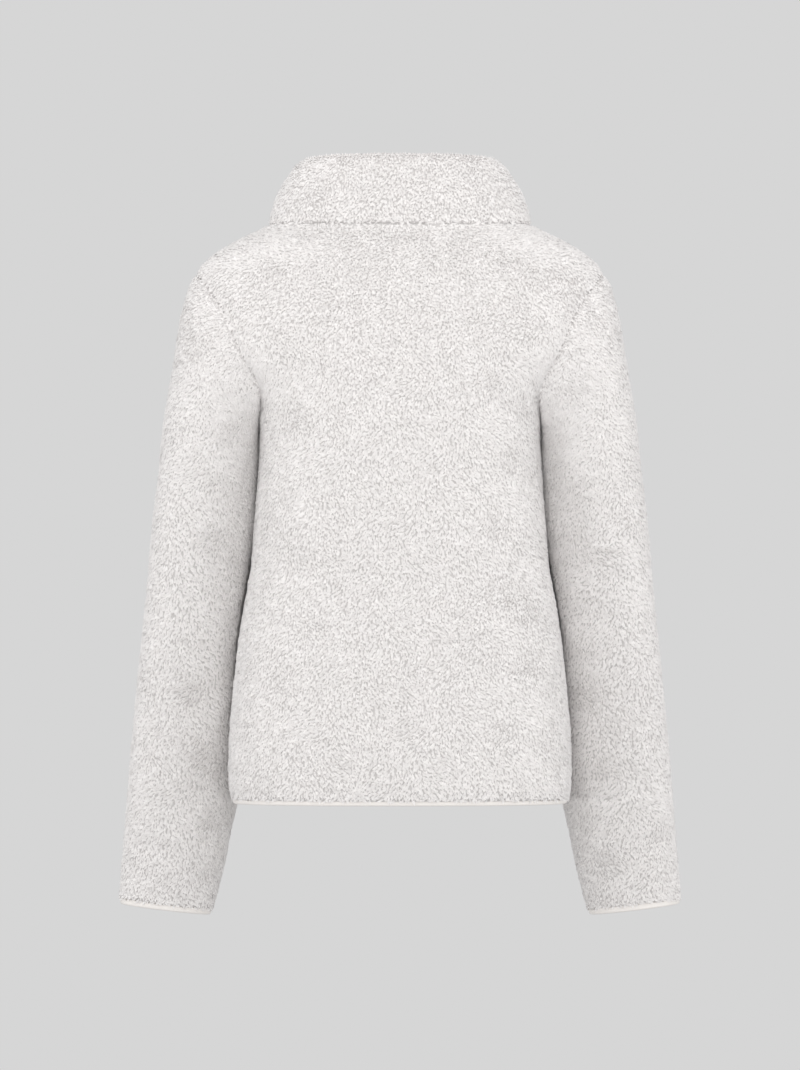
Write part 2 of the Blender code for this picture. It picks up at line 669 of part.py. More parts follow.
def slab(outline, low, high, axis):
    """Points and faces of an outline drawn out along X or Y between two places."""
    count = len(outline)
    points = []
    for place in (low, high):
        for first, second in outline:
            points.append((first, place, second) if axis == "Y" else (place, first, second))
    faces = [tuple(range(count)), tuple(range(count, 2 * count))]
    for one in range(count):
        two = (one + 1) % count
        faces.append((one, two, two + count, one + count))
    return points, faces


def box_outline(left, right, bottom, top):
    return [(left, bottom), (right, bottom), (right, top), (left, top)]


def guide(name, points, faces):
    """A hidden solid for a Boolean."""
    made = add_object(name, points, faces, bpy.data.materials["zip_metal"], smooth=False)
    made.hide_render = True
    made.display_type = "WIRE"
    return made


def join_guides(thing, guides, operation="UNION"):
    for other in guides:
        other.parent = thing
        change = thing.modifiers.new(other.name, "BOOLEAN")
        change.operation = operation
        change.object = other


def plate_outline():
    end = SLIDER_LENGTH / 2
    foot, top, corner = SLIDER_FOOT_HALF_WIDTH, SLIDER_HALF_WIDTH, SLIDER_CORNER
    right = [
        (foot - corner, -end),
        (foot, corner - end),
        (top, 0.3 * end),
        (top, end - corner),
        (top - corner, end),
    ]
    return right + [(-x, z) for x, z in reversed(right)]


def make_tapes(body_path, collar_path, cloth):
    """Two strips beside the centre line, from under the hem binding to just below the collar's crest."""
    below = body_path[:1].copy()
    below[0, 0, 2] = HEM_HEIGHT - HEM_BINDING_HEIGHT
    mouth = (collar_path[SLIDER_ROW - 1] + collar_path[SLIDER_ROW]) / 2
    upper = collar_path[1 : TAPE_LAST_ROW + 1]
    upper = np.insert(upper, SLIDER_ROW - 1, mouth, axis=0)
    path = np.concatenate([below, body_path, upper])
    spread_rows = TAPE_LAST_ROW - SLIDER_ROW + 1
    inner_edge = np.full(len(path), SEAM_GAP / 2)
    inner_edge[-spread_rows:] = TAPE_SPREAD
    inward = unit(path[:, 1])
    front = path[:, 0] + inward * TAPE_DEPTH
    near = front.copy()
    near[:, 0] = inner_edge
    far = front.copy()
    far[:, 0] = ZIP_OPENING - SEAM_GAP
    outer = np.stack([near, far], axis=1)
    inner = outer + (inward * TAPE_THICKNESS)[:, None]
    add_object("zip_tape_right", *wall_mesh(outer, inner), cloth)
    add_object("zip_tape_left", *wall_mesh(mirrored(outer), mirrored(inner)), cloth)


def make_slider(collar_path, metal):
    """The slider near the collar's top, and the pull tab that hangs from its bridge."""
    inward = unit(collar_path[SLIDER_ROW, 1])
    up = collar_path[SLIDER_ROW, 0] - collar_path[SLIDER_ROW - 1, 0]
    up[0] = 0
    up = unit(up)
    out = unit(-inward + np.sum(inward * up) * up)
    origin = collar_path[SLIDER_ROW, 0] + inward * (TAPE_DEPTH + TAPE_THICKNESS / 2)
    origin[0] = 0
    front_plate = slab(plate_outline(), PLATE_INNER, PLATE_OUTER, "Y")
    slider = add_object("zip_slider", *front_plate, metal, smooth=False)
    back_plate = guide("zip_slider_back", *slab(plate_outline(), -PLATE_OUTER, -PLATE_INNER, "Y"))
    reach = (PLATE_INNER + PLATE_OUTER) / 2
    post = guide(
        "zip_slider_post",
        *slab(box_outline(-POST_HALF_WIDTH, POST_HALF_WIDTH, POST_START, POST_END), -reach, reach, "Y"),
    )
    low = AXIS_UP - BRIDGE_LOW
    high = AXIS_UP + BRIDGE_HIGH
    top = PLATE_OUTER + BRIDGE_HEIGHT
    arch = [
        (reach, low),
        (top - BRIDGE_BAR / 2, low),
        (top, low + BRIDGE_BAR / 2),
        (top, high - BRIDGE_BAR / 2),
        (top - BRIDGE_BAR / 2, high),
        (reach, high),
        (reach, high - BRIDGE_LEG),
        (top - BRIDGE_BAR, high - BRIDGE_LEG),
        (top - BRIDGE_BAR, low + BRIDGE_LEG),
        (reach, low + BRIDGE_LEG),
    ]
    bridge = guide("zip_slider_bridge", *slab(arch, -BRIDGE_HALF_WIDTH, BRIDGE_HALF_WIDTH, "X"))
    join_guides(slider, (post, back_plate, bridge))
    placed(slider, origin, up, out)

    half = TAB_THICKNESS / 2
    bar = TAB_BAR / 2
    wide, narrow, corner = TAB_HALF_WIDTH, TAB_END_HALF_WIDTH, TAB_BAR
    right = [
        (wide - 0.3 * corner, bar),
        (wide, bar - 0.3 * corner),
        (wide, -bar - TAB_HOLE_LENGTH),
        (narrow, -bar - 1.6 * TAB_HOLE_LENGTH),
        (narrow, corner - TAB_LENGTH),
        (narrow - 0.35 * corner, 0.35 * corner - TAB_LENGTH),
        (narrow - corner, -TAB_LENGTH),
    ]
    outline = right + [(-x, z) for x, z in reversed(right)]
    tab = add_object("zip_pull_tab", *slab(outline, -half, half, "Y"), metal, smooth=False)
    hole_outline = box_outline(-TAB_HOLE_HALF_WIDTH, TAB_HOLE_HALF_WIDTH, -bar - TAB_HOLE_LENGTH, -bar)
    hole = guide("zip_pull_tab_hole", *slab(hole_outline, -2 * half, 2 * half, "Y"))
    join_guides(tab, (hole,), "DIFFERENCE")
    axis = origin + up * AXIS_UP + out * (PLATE_OUTER + AXIS_RISE)
    placed(tab, axis, up, out)


def main():
    clear_scene()
    fleece = material("teddy_fleece", (0.79, 0.77, 0.75), 0.95)
    cream = material("stretch_binding", (0.80, 0.77, 0.70), 0.60)
    body_path, collar_path, sleeve, sleeve_wall = make_body_and_collar(fleece)
    make_hem_binding(cream)
    make_cuff_bindings(sleeve, sleeve_wall, cream)
    tape = material("zip_tape", (0.76, 0.74, 0.70), 0.75)
    metal = material("zip_metal", (0.72, 0.71, 0.68), 0.35, 1.0)
    make_tapes(body_path, collar_path, tape)
    make_slider(collar_path, metal)


main()
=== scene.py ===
import bpy
import numpy as np
from mathutils import Matrix


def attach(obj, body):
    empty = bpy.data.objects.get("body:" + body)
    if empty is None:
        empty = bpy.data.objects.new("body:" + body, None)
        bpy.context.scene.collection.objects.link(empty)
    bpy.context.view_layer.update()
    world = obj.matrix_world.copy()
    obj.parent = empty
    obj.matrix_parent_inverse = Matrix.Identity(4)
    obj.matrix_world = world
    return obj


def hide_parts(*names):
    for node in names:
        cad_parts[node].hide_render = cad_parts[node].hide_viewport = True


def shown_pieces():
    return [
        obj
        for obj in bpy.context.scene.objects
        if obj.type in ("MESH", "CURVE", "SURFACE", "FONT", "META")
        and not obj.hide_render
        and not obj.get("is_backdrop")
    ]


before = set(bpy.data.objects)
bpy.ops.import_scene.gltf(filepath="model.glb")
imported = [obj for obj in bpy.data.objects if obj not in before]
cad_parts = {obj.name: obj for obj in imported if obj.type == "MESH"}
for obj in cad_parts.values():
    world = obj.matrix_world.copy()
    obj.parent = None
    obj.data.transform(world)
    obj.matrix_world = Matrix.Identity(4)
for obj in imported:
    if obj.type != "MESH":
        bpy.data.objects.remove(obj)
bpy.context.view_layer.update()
print("frame loaded:", len(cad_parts), "nodes")

draws = np.random.default_rng(2718)  # every random number comes from here, in a fixed order

# Camera, floor and light. The camera stands behind the wearer, level with the waist.
stage = {
    "cameraPlace": (0.0, -6.0, -0.400),
    "cameraTarget": (0.0, 0.0, -0.311),
    "sensor": 36.0,
    "lens": 201.9,
    "backdrop": (0.672, 0.672, 0.672),
    "backdropLight": 1.0,
    "floorHeight": -1.25,
    "floorRadius": 2.6,
    "floorHole": 0.02,    # the first ring's share of the radius, which one face fills
    "floorRings": 24,
    "floorSpokes": 96,
}
lamps = (
    # name, place, size, watts: each faces the chest
    ("softboxAbove", (0.0, -1.4, 2.5), 2.4, 31.0),
    ("softboxBehind", (0.0, -4.6, -0.9), 3.0, 91.0),
    ("softboxLeft", (-3.0, -0.9, -0.7), 2.4, 26.0),
    ("softboxRight", (3.0, -0.9, -0.7), 2.4, 26.0),
    ("softboxFront", (0.0, 2.8, 0.6), 2.4, 44.0),
)
chest = np.array([0.0, 0.0, -0.30])


# Turns an object so that its -Z looks at a point.
def lookAt(thing, target):
    way = np.array(target) - np.array(thing.location)
    away = -way / np.linalg.norm(way)
    side = np.cross((0.0, 0.0, 1.0), away)
    side /= np.linalg.norm(side)
    up = np.cross(away, side)
    turned = np.eye(4)
    turned[:3, 0], turned[:3, 1], turned[:3, 2] = side, up, away
    turned[:3, 3] = thing.location
    thing.matrix_world = Matrix(turned.tolist())


# The camera, an even pale backdrop and the soft boxes.
def setStage():
    scene = bpy.context.scene
    scene.view_settings.view_transform = "Standard"
    eye = bpy.data.cameras.new("camera")
    eye.sensor_width = stage["sensor"]
    eye.lens = stage["lens"]
    camera = bpy.data.objects.new("camera", eye)
    camera.location = stage["cameraPlace"]
    scene.collection.objects.link(camera)
    lookAt(camera, stage["cameraTarget"])
    scene.camera = camera
    world = bpy.data.worlds.new("backdrop")
    scene.world = world
    world.use_nodes = True
    glow = world.node_tree.nodes["Background"]
    glow.inputs["Color"].default_value = (*stage["backdrop"], 1.0)
    glow.inputs["Strength"].default_value = stage["backdropLight"]
    for name, place, size, watts in lamps:
        light = bpy.data.lights.new(name, "AREA")
        light.size = size
        light.energy = watts
        lamp = bpy.data.objects.new(name, light)
        lamp.location = place
        scene.collection.objects.link(lamp)
        lookAt(lamp, chest)


# A round floor: rings of points out to its radius.
def makeFloor(look):
    rings, spokes = stage["floorRings"], stage["floorSpokes"]
    out = np.linspace(stage["floorHole"], 1.0, rings)[:, None] * stage["floorRadius"]
    turn = np.linspace(0, 2 * np.pi, spokes, endpoint=False)[None]
    height = np.full((rings, spokes), stage["floorHeight"])
    grid = np.stack([out * np.cos(turn), out * np.sin(turn), height], axis=-1)
    quads = gridQuads(rings, spokes, True)
    floor = addMesh("floor", grid.reshape(-1, 3), [quads[:, ::-1], np.arange(spokes)[None]], [look])
    floor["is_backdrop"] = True


# Shader sums: a socket wrapped so that + - and * add Math nodes, with a number on either side.
class Wire:
    def __init__(self, look, socket):
        self.look = look
        self.socket = socket

    def maths(self, operation, *others):
        return self.look.node("ShaderNodeMath", {"operation": operation}, others)

    def __add__(self, other):
        return self.maths("ADD", self, other)

    def __radd__(self, other):
        return self.maths("ADD", other, self)

    def __sub__(self, other):
        return self.maths("SUBTRACT", self, other)

    def __rsub__(self, other):
        return self.maths("SUBTRACT", other, self)

    def __mul__(self, other):
        return self.maths("MULTIPLY", self, other)

    def __rmul__(self, other):
        return self.maths("MULTIPLY", other, self)

    def clamped(self):  # kept between 0 and 1
        return self.maths("MINIMUM", self.maths("MAXIMUM", self, 0.0), 1.0)


# A material: node() adds a node of any type, its settings first, then its sockets' values or links.
class Look:
    def __init__(self, name, constants):
        self.material = bpy.data.materials.new(name)
        self.material.use_nodes = True
        self.tree = self.material.node_tree
        self.shader = self.tree.nodes["Principled BSDF"]
        for socket, value in constants.items():
            self.shader.inputs[socket].default_value = value

    def node(self, kind, settings=None, values=(), output=0):
        made = self.tree.nodes.new(kind)
        for name, value in (settings or {}).items():
            setattr(made, name, value)
        pairs = values.items() if isinstance(values, dict) else enumerate(values)
        for key, value in pairs:
            if isinstance(value, Wire):
                self.tree.links.new(value.socket, made.inputs[key])
            else:
                made.inputs[key].default_value = value
        return Wire(self, made.outputs[output])

    def objectPlace(self):
        return self.node("ShaderNodeTexCoord", output="Object")

    def uvPlace(self, name):
        return self.node("ShaderNodeUVMap", {"uv_map": name})

    def stored(self, name):  # a number kept on the mesh
        return self.node("ShaderNodeAttribute", {"attribute_name": name}, output="Fac")

    def scaled(self, place, by):
        return self.node("ShaderNodeVectorMath", {"operation": "MULTIPLY"}, [place, by])

    def noise(self, place, scale, detail=2.0):
        values = {"Vector": place, "Scale": scale, "Detail": detail}
        return self.node("ShaderNodeTexNoise", values=values)

    def mixed(self, share, first, second):  # sockets 6 and 7 are the two colours, output 2 their mix
        ends = {0: share, 6: (*first, 1.0), 7: (*second, 1.0)}
        return self.node("ShaderNodeMix", {"data_type": "RGBA"}, ends, output=2)

    def bump(self, height, distance, strength):
        values = {"Height": height, "Distance": distance, "Strength": strength}
        return self.node("ShaderNodeBump", values=values)

    def drives(self, socket, wire):
        self.tree.links.new(wire.socket, self.shader.inputs[socket])


# Corner numbers of a grid's faces, rows first; around joins the last column to the first.
def gridQuads(rows, columns, around=False):
    last = columns if around else columns - 1
    row = np.arange(rows - 1)[:, None] * columns
    column = np.arange(last)[None]
    after = (column + 1) % columns
    corners = [row + column, row + after, row + columns + after, row + columns + column]
    return np.stack(corners, axis=-1).reshape(-1, 4)


# Puts points and arrays of like-sided faces into a new mesh object; slots names each array's look.
def addMesh(name, points, faceSets, looks, slots=None, smooth=True):
    mesh = bpy.data.meshes.new(name)
    counts = np.concatenate([np.full(len(faces), faces.shape[1]) for faces in faceSets])
    starts = np.concatenate([[0], np.cumsum(counts)[:-1]])
    mesh.vertices.add(len(points))
    mesh.vertices.foreach_set("co", np.asarray(points, np.float32).ravel())
    mesh.loops.add(int(counts.sum()))
    corners = np.concatenate([faces.ravel() for faces in faceSets])
    mesh.loops.foreach_set("vertex_index", corners.astype(np.int32))
    mesh.polygons.add(len(counts))
    mesh.polygons.foreach_set("loop_start", starts.astype(np.int32))
    if slots:
        whole = np.concatenate([np.full(len(faces), slot) for faces, slot in zip(faceSets, slots)])
        mesh.polygons.foreach_set("material_index", whole.astype(np.int32))
    mesh.update(calc_edges=True)
    if smooth:
        mesh.shade_smooth()
    for look in looks:
        mesh.materials.append(look.material)
    made = bpy.data.objects.new(name, mesh)
    bpy.context.scene.collection.objects.link(made)
    return made


# Keeps one number for each point of a mesh.
def storeValue(thing, name, values):
    held = thing.data.attributes.new(name, "FLOAT", "POINT")
    held.data.foreach_set("value", np.asarray(values, np.float32).ravel())


# A UV map from one pair of numbers for each corner of each face.
def storeMap(thing, name, places):
    chart = thing.data.uv_layers.new(name=name)
    chart.uv.foreach_set("vector", np.asarray(places, np.float32).ravel())


# Natural cubic spline through values at rising knots, read at the places.
def spline(knots, values, places):
    step = np.diff(knots)
    slope = np.diff(values) / step
    system = np.diag(np.concatenate([[1.0], 2 * (step[:-1] + step[1:]), [1.0]]))
    system += np.diag(np.append(step[:-1], 0), -1) + np.diag(np.append(0, step[1:]), 1)
    bend = np.linalg.solve(system, np.concatenate([[0], 6 * np.diff(slope), [0]]))
    places = np.asarray(places, dtype=float)
    span = np.clip(np.searchsorted(knots, places) - 1, 0, len(knots) - 2)
    width = step[span]
    ahead = (knots[span + 1] - places) / width
    behind = 1 - ahead
    curve = (ahead**3 - ahead) * bend[span] + (behind**3 - behind) * bend[span + 1]
    return ahead * values[span] + behind * values[span + 1] + curve * width**2 / 6


# Vectors divided by their lengths.
def unit(vectors):
    return vectors / np.maximum(np.linalg.norm(vectors, axis=-1, keepdims=True), 1e-12)


# Dot products, kept as a last column.
def dot(one, other):
    return np.sum(one * other, axis=-1, keepdims=True)


# 0 at low, 1 at high and 3s^2 - 2s^3 of the share s between them.
def smoothStep(low, high, value):
    share = np.clip((value - low) / (high - low), 0, 1)
    return share * share * (3 - 2 * share)


# Smooth random numbers in space: sums of a few sine waves in random directions, about -1 to 1.
def waves(points, wavelength, count=7):
    way = unit(draws.normal(size=(count, 3)))
    often = 2 * np.pi / wavelength * draws.uniform(0.7, 1.4, count)
    start = draws.uniform(0, 2 * np.pi, count)
    total = np.zeros(points.shape[:-1])
    for one in range(count):
        total += np.sin(points @ way[one] * often[one] + start[one])
    return total / np.sqrt(count / 2) / 2


# The jacket's main measures, in metres, the same as its solids have.
jacket = {
    "hemHeight": -0.5735,
    "underarmHeight": -0.197,
    "shoulderTip": -0.050,
    "armholeHalfDepth": 0.073,
    "neckBack": -0.003,
    "neckFront": -0.060,
    "neckFrontCurve": 1.7,
    "zipOpening": 0.007,
    "cloth": 0.008,
    "seamGap": 0.0003,
    "mitreLimit": 1.35,
    "armholeFade": 0.30,         # share of the sleeve in which it leaves the armhole's shape
    "sleeveClearance": 0.0035,
    "clearanceFrom": 0.020,      # where it is reached, off the armhole
    "besideSleeve": 0.0124,      # how far below the hem the body still holds a sleeve off
    "collarHalfWidth": 0.102,
    "collarBack": 0.0620,
    "collarFront": 0.0600,
    "collarSquare": 2.35,
    "collarHeight": 0.0665,
    "collarDrop": 0.0088,
    "collarDropCurve": 2.20,
    "collarLean": 1.95,
    "collarThickness": 0.0105,
    "probe": 0.0004,             # step in which a slope is measured
}

# Level sections of the body: height, half width, how far forward the widest point is, depth behind
# and in front of it, and how square the back and the front are (2 is an ellipse).
bodySections = np.array([
    (0.006, 0.1195, 0.000, 0.0700, 0.0360, 2.30, 2.20),
    (0.000, 0.1300, 0.000, 0.0720, 0.0420, 2.30, 2.20),
    (-0.006, 0.1410, 0.000, 0.0745, 0.0480, 2.30, 2.20),
    (-0.014, 0.1580, 0.000, 0.0785, 0.0545, 2.30, 2.20),
    (-0.026, 0.1795, 0.000, 0.0845, 0.0635, 2.30, 2.20),
    (-0.038, 0.1950, 0.000, 0.0895, 0.0715, 2.30, 2.20),
    (-0.050, 0.2030, 0.000, 0.0935, 0.0790, 2.30, 2.20),
    (-0.076, 0.2090, 0.000, 0.1005, 0.0930, 2.32, 2.20),
    (-0.106, 0.2070, -0.002, 0.1065, 0.1090, 2.36, 2.20),
    (-0.140, 0.1830, -0.004, 0.1095, 0.1240, 2.42, 2.22),
    (-0.165, 0.1540, -0.006, 0.1100, 0.1320, 2.50, 2.24),
    (-0.185, 0.1425, -0.008, 0.1095, 0.1375, 2.58, 2.26),
    (-0.206, 0.1385, -0.010, 0.1080, 0.1405, 2.62, 2.28),
    (-0.251, 0.1395, -0.012, 0.1050, 0.1415, 2.64, 2.30),
    (-0.296, 0.1430, -0.014, 0.1025, 0.1390, 2.62, 2.30),
    (-0.340, 0.1480, -0.015, 0.1015, 0.1360, 2.60, 2.30),
    (-0.371, 0.1535, -0.015, 0.1025, 0.1350, 2.58, 2.30),
    (-0.416, 0.1610, -0.015, 0.1060, 0.1355, 2.55, 2.32),
    (-0.461, 0.1660, -0.014, 0.1105, 0.1375, 2.52, 2.34),
    (-0.506, 0.1700, -0.013, 0.1145, 0.1395, 2.50, 2.36),
    (-0.548, 0.1710, -0.012, 0.1165, 0.1400, 2.50, 2.38),
    (-0.566, 0.1700, -0.012, 0.1160, 0.1390, 2.50, 2.38),
    (-0.582, 0.1665, -0.012, 0.1135, 0.1360, 2.50, 2.38),
])[::-1]

# Rings down the right sleeve: outer and inner edge seen from behind (x, z each), how far forward
# the ring's middle is, how much further forward its inner edge is, and half its depth.
sleeveRings = np.array([
    (0.2030, -0.0500, 0.1388, -0.1970, -0.005, 0.000, 0.0730),
    (0.2090, -0.0585, 0.1410, -0.2040, -0.004, 0.003, 0.0740),
    (0.2145, -0.0755, 0.1415, -0.2130, -0.002, 0.008, 0.0745),
    (0.2198, -0.0980, 0.1405, -0.2250, 0.000, 0.014, 0.0740),
    (0.2245, -0.1280, 0.1380, -0.2410, 0.003, 0.020, 0.0725),
    (0.2300, -0.1620, 0.1365, -0.2620, 0.007, 0.024, 0.0705),
    (0.2365, -0.2010, 0.1360, -0.2870, 0.011, 0.026, 0.0685),
    (0.2415, -0.2500, 0.1365, -0.3180, 0.017, 0.027, 0.0660),
    (0.2478, -0.3000, 0.1380, -0.3520, 0.024, 0.027, 0.0640),
    (0.2522, -0.3500, 0.1400, -0.3880, 0.031, 0.026, 0.0620),
    (0.2575, -0.4000, 0.1430, -0.4260, 0.038, 0.024, 0.0600),
    (0.2632, -0.4500, 0.1475, -0.4680, 0.046, 0.021, 0.0575),
    (0.2682, -0.5000, 0.1525, -0.5140, 0.054, 0.017, 0.0545),
    (0.2728, -0.5450, 0.1585, -0.5570, 0.062, 0.013, 0.0515),
    (0.2768, -0.5910, 0.1692, -0.6020, 0.069, 0.009, 0.0480),
    (0.2808, -0.6330, 0.1775, -0.6440, 0.075, 0.005, 0.0440),
    (0.2846, -0.6762, 0.1888, -0.6880, 0.080, 0.002, 0.0385),
])

# Soft creases of the right sleeve: place round it in degrees (0 outside, 90 back, 180 the body's
# side), place along it, both half widths, and depth.
sleeveCreases = (
    (150.0, 0.640, 38.0, 0.014, 0.0024),
    (165.0, 0.685, 46.0, 0.013, 0.0030),
    (205.0, 0.600, 50.0, 0.016, 0.0030),
    (225.0, 0.655, 52.0, 0.015, 0.0034),
    (250.0, 0.710, 40.0, 0.015, 0.0026),
    (300.0, 0.300, 40.0, 0.030, 0.0024),
    (60.0, 0.915, 30.0, 0.013, 0.0020),
)
print("form:", len(bodySections), "body sections,", len(sleeveRings), "sleeve rings")


# The body's section at each height: half width, middle, back, front, back and front squareness.
def bodySection(height):
    return [spline(bodySections[:, 0], bodySections[:, one], height) for one in range(1, 7)]


# At a place: the half width, how far it is ahead of the middle, and its side's depth and squareness.
def sectionAt(y, height):
    half, middle, back, front, backSquare, frontSquare = bodySection(height)
    along = y - middle
    depth = np.where(along < 0, back, front)
    return half, along, depth, np.where(along < 0, backSquare, frontSquare)


# 1 on the body, less inside: the superellipse |x / half|^n + |y / depth|^n, to the power 1 / n.
def bodyReach(points):
    half, along, depth, square = sectionAt(points[..., 1], points[..., 2])
    across = np.abs(points[..., 0]) / half
    return (across**square + (np.abs(along) / depth) ** square) ** (1 / square)


# Points moved along level lines from the body's middle onto its surface.
def ontoBody(points):
    middle = bodySection(points[..., 2])[1]
    reach = bodyReach(points)
    x = points[..., 0] / reach
    y = middle + (points[..., 1] - middle) / reach
    return np.stack([x, y, points[..., 2]], axis=-1)


# Outward direction: how the reach changes over a short step along each axis.
def bodyNormal(points):
    steps = np.eye(3) * jacket["probe"]
    return unit(np.stack([bodyReach(points + s) - bodyReach(points - s) for s in steps], axis=-1))


# A power that keeps its base's sign, as a superellipse needs of a sine and a cosine.
def signedPower(base, power):
    return np.sign(base) * np.abs(base) ** power


# Points of the body at an angle from the centre back, positive to the wearer's right.
def bodyRing(height, angle):
    half, middle, back, front, backSquare, frontSquare = bodySection(height)
    behind = np.cos(angle) > 0
    power = 2 / np.where(behind, backSquare, frontSquare)
    x = half * signedPower(np.sin(angle), power)
    y = middle - np.where(behind, back, front) * signedPower(np.cos(angle), power)
    return np.stack([x, y, np.broadcast_to(height, x.shape)], axis=-1)


# How far the body reaches sideways at a place seen from its side: the superellipse solved for x.
def bodyHalfWidth(y, z):
    half, along, depth, square = sectionAt(y, z)
    left = np.clip(1 - (np.abs(along) / depth) ** square, 0, None)
    return np.where(z < jacket["hemHeight"] - jacket["besideSleeve"], 0, half * left ** (1 / square))


# The angle at which the body is a zip's opening off the centre line.
def zipAngle(height):
    half, frontSquare = bodySection(height)[0], bodySection(height)[5]
    return np.pi - np.arcsin((jacket["zipOpening"] / half) ** (frontSquare / 2))


# The side seam: the body's widest line, from the hem up to the underarm.
def sideSeam(count):
    height = np.linspace(jacket["hemHeight"], jacket["underarmHeight"], count)
    return bodyRing(height, np.full(count, np.pi / 2))


# Half an ellipse seen from the side, laid on the body: underarm to shoulder, behind or in front.
def armholeHalf(side, count):
    turn = np.linspace(0, np.pi, count)
    low, high = jacket["underarmHeight"], jacket["shoulderTip"]
    z = (low + high) / 2 - (high - low) / 2 * np.cos(turn)
    y = bodySection(z)[1] + side * jacket["armholeHalfDepth"] * np.sin(turn)
    return np.stack([bodyHalfWidth(y, z), y, z], axis=-1)


# The shoulder seam: the widest line again, from the neck out to the shoulder's tip.
def shoulderSeam(count):
    height = np.linspace(0, jacket["shoulderTip"], count)
    return bodyRing(height, np.full(count, np.pi / 2))


# Half of the neckline behind: its height is neckBack times the angle's squared cosine.
def neckBackHalf(count):
    angle = np.linspace(0, np.pi / 2, count)
    return bodyRing(jacket["neckBack"] * np.cos(angle) ** 2, angle)


# Half of it in front: neckFront times a power of the share of the way from side to zip.
def neckFrontHalf(count):
    last = zipAngle(np.array(jacket["neckFront"]))
    angle = np.linspace(last, np.pi / 2, count)
    drop = ((angle - np.pi / 2) / (last - np.pi / 2)) ** jacket["neckFrontCurve"]
    return bodyRing(jacket["neckFront"] * drop, angle)


# The same points on the wearer's other side.
def mirrored(points):
    return points * np.array([-1.0, 1.0, 1.0])


# A grid between four edges: both straight blends less the corners' blend.
def spreadBetween(bottom, top, first, last):
    s = np.linspace(0, 1, len(bottom))[None, :, None]
    t = np.linspace(0, 1, len(first))[:, None, None]
    upright = (1 - t) * bottom[None] + t * top[None]
    level = (1 - s) * first[:, None] + s * last[:, None]
    ends = (1 - t) * ((1 - s) * bottom[0] + s * bottom[-1]) + t * ((1 - s) * top[0] + s * top[-1])
    return upright + level - ends


# Direction square to a grid: its row step crossed with its column step.
def gridNormal(points, around=False):
    if around:
        acrossStep = np.roll(points, -1, axis=1) - np.roll(points, 1, axis=1)
    else:
        acrossStep = np.gradient(points, axis=1)
    return unit(np.cross(np.gradient(points, axis=0), acrossStep))


# How finely each piece is drawn: about one point every 4 mm.
fineness = {
    "sideRows": 96,
    "armholeRows": 48,
    "neckColumns": 40,
    "shoulderColumns": 24,
    "sleeveRows": 160,
    "insideStep": 8,   # the plain inside has one point for this many outside
}


# A panel's hem: level on the body, from an angle round to its side.
def hemLine(first):
    angle = np.linspace(first, np.pi / 2, fineness["neckColumns"] + fineness["shoulderColumns"] + 1)
    return bodyRing(np.full(angle.shape, jacket["hemHeight"]), angle)


# A panel's outer edge: the side seam, then its half of the armhole.
def outerEdge(side):
    armhole = armholeHalf(side, fineness["armholeRows"] + 1)
    return np.concatenate([sideSeam(fineness["sideRows"] + 1), armhole[1:]])


# A panel's top edge: its half of the neckline, then the shoulder seam.
def topEdge(neckHalf):
    shoulder = shoulderSeam(fineness["shoulderColumns"] + 1)
    return np.concatenate([neckHalf(fineness["neckColumns"] + 1), shoulder[1:]])


# The back: its right half spread between its edges and laid on the body, and its mirror.
def backGrid():
    edge = outerEdge(-1)
    height = np.linspace(jacket["hemHeight"], jacket["neckBack"], len(edge))
    centre = bodyRing(height, np.zeros(height.shape))
    right = ontoBody(spreadBetween(hemLine(0), topEdge(neckBackHalf), centre, edge))
    return np.concatenate([mirrored(right)[:, :0:-1], right], axis=1)


# The right front, from beside the zip to the side seam and armhole.
def frontGrid():
    edge = outerEdge(1)
    height = np.linspace(jacket["hemHeight"], jacket["neckFront"], len(edge))
    opening = bodyRing(height, zipAngle(height))
    hem = hemLine(zipAngle(np.array(jacket["hemHeight"])))
    return ontoBody(spreadBetween(hem, topEdge(neckFrontHalf), opening, edge))


# The right sleeve: leaning ellipses down its rings, started on the armhole, dented by the
# creases, and pushed clear of the body.
def sleeveGrid():
    knots = np.arange(len(sleeveRings), dtype=float)
    along = np.linspace(0, 1, fineness["sleeveRows"] + 1)[:, None]
    place = (len(sleeveRings) - 1) * along[:, 0]
    columns = [spline(knots, sleeveRings[:, one], place)[:, None] for one in range(7)]
    outerX, outerZ, innerX, innerZ, middle, skew, halfDepth = columns
    back = armholeHalf(-1, fineness["armholeRows"] + 1)
    front = armholeHalf(1, fineness["armholeRows"] + 1)
    armhole = np.concatenate([back[::-1], front[1:-1]])
    turn = np.arange(len(armhole)) * 2 * np.pi / len(armhole)
    out, rear = np.cos(turn)[None], np.sin(turn)[None]
    x = (outerX + innerX) / 2 + (outerX - innerX) / 2 * out
    y = middle - skew * out - halfDepth * rear
    z = (outerZ + innerZ) / 2 + (outerZ - innerZ) / 2 * out
    points = np.stack([x, y, z], axis=-1)
    fade = 1 - smoothStep(0.0, jacket["armholeFade"], along)[..., None]
    points += (armhole - points[0])[None] * fade
    dent = np.zeros((len(along), len(turn)))
    for around, down, spreadAround, spreadDown, depth in sleeveCreases:
        off = (np.degrees(turn)[None] - around + 180) % 360 - 180
        dent += depth * np.exp(-((off / spreadAround) ** 2) - ((along - down) / spreadDown) ** 2)
    points += gridNormal(points, True) * dent[..., None]
    far = np.linalg.norm(points - armhole[None], axis=-1)
    clear = jacket["sleeveClearance"] * smoothStep(0.0, jacket["clearanceFrom"], far)
    body = bodyHalfWidth(points[..., 1], points[..., 2]) + clear
    points[1:, :, 0] = np.maximum(points[1:, :, 0], body[1:])
    return points


# The neckline from the right of the zip round the back to its left.
def neckRing():
    count = fineness["neckColumns"] + 1
    right = np.concatenate([neckFrontHalf(count), neckBackHalf(count)[::-1][1:]])
    return np.concatenate([right, mirrored(right[::-1])[1:]])


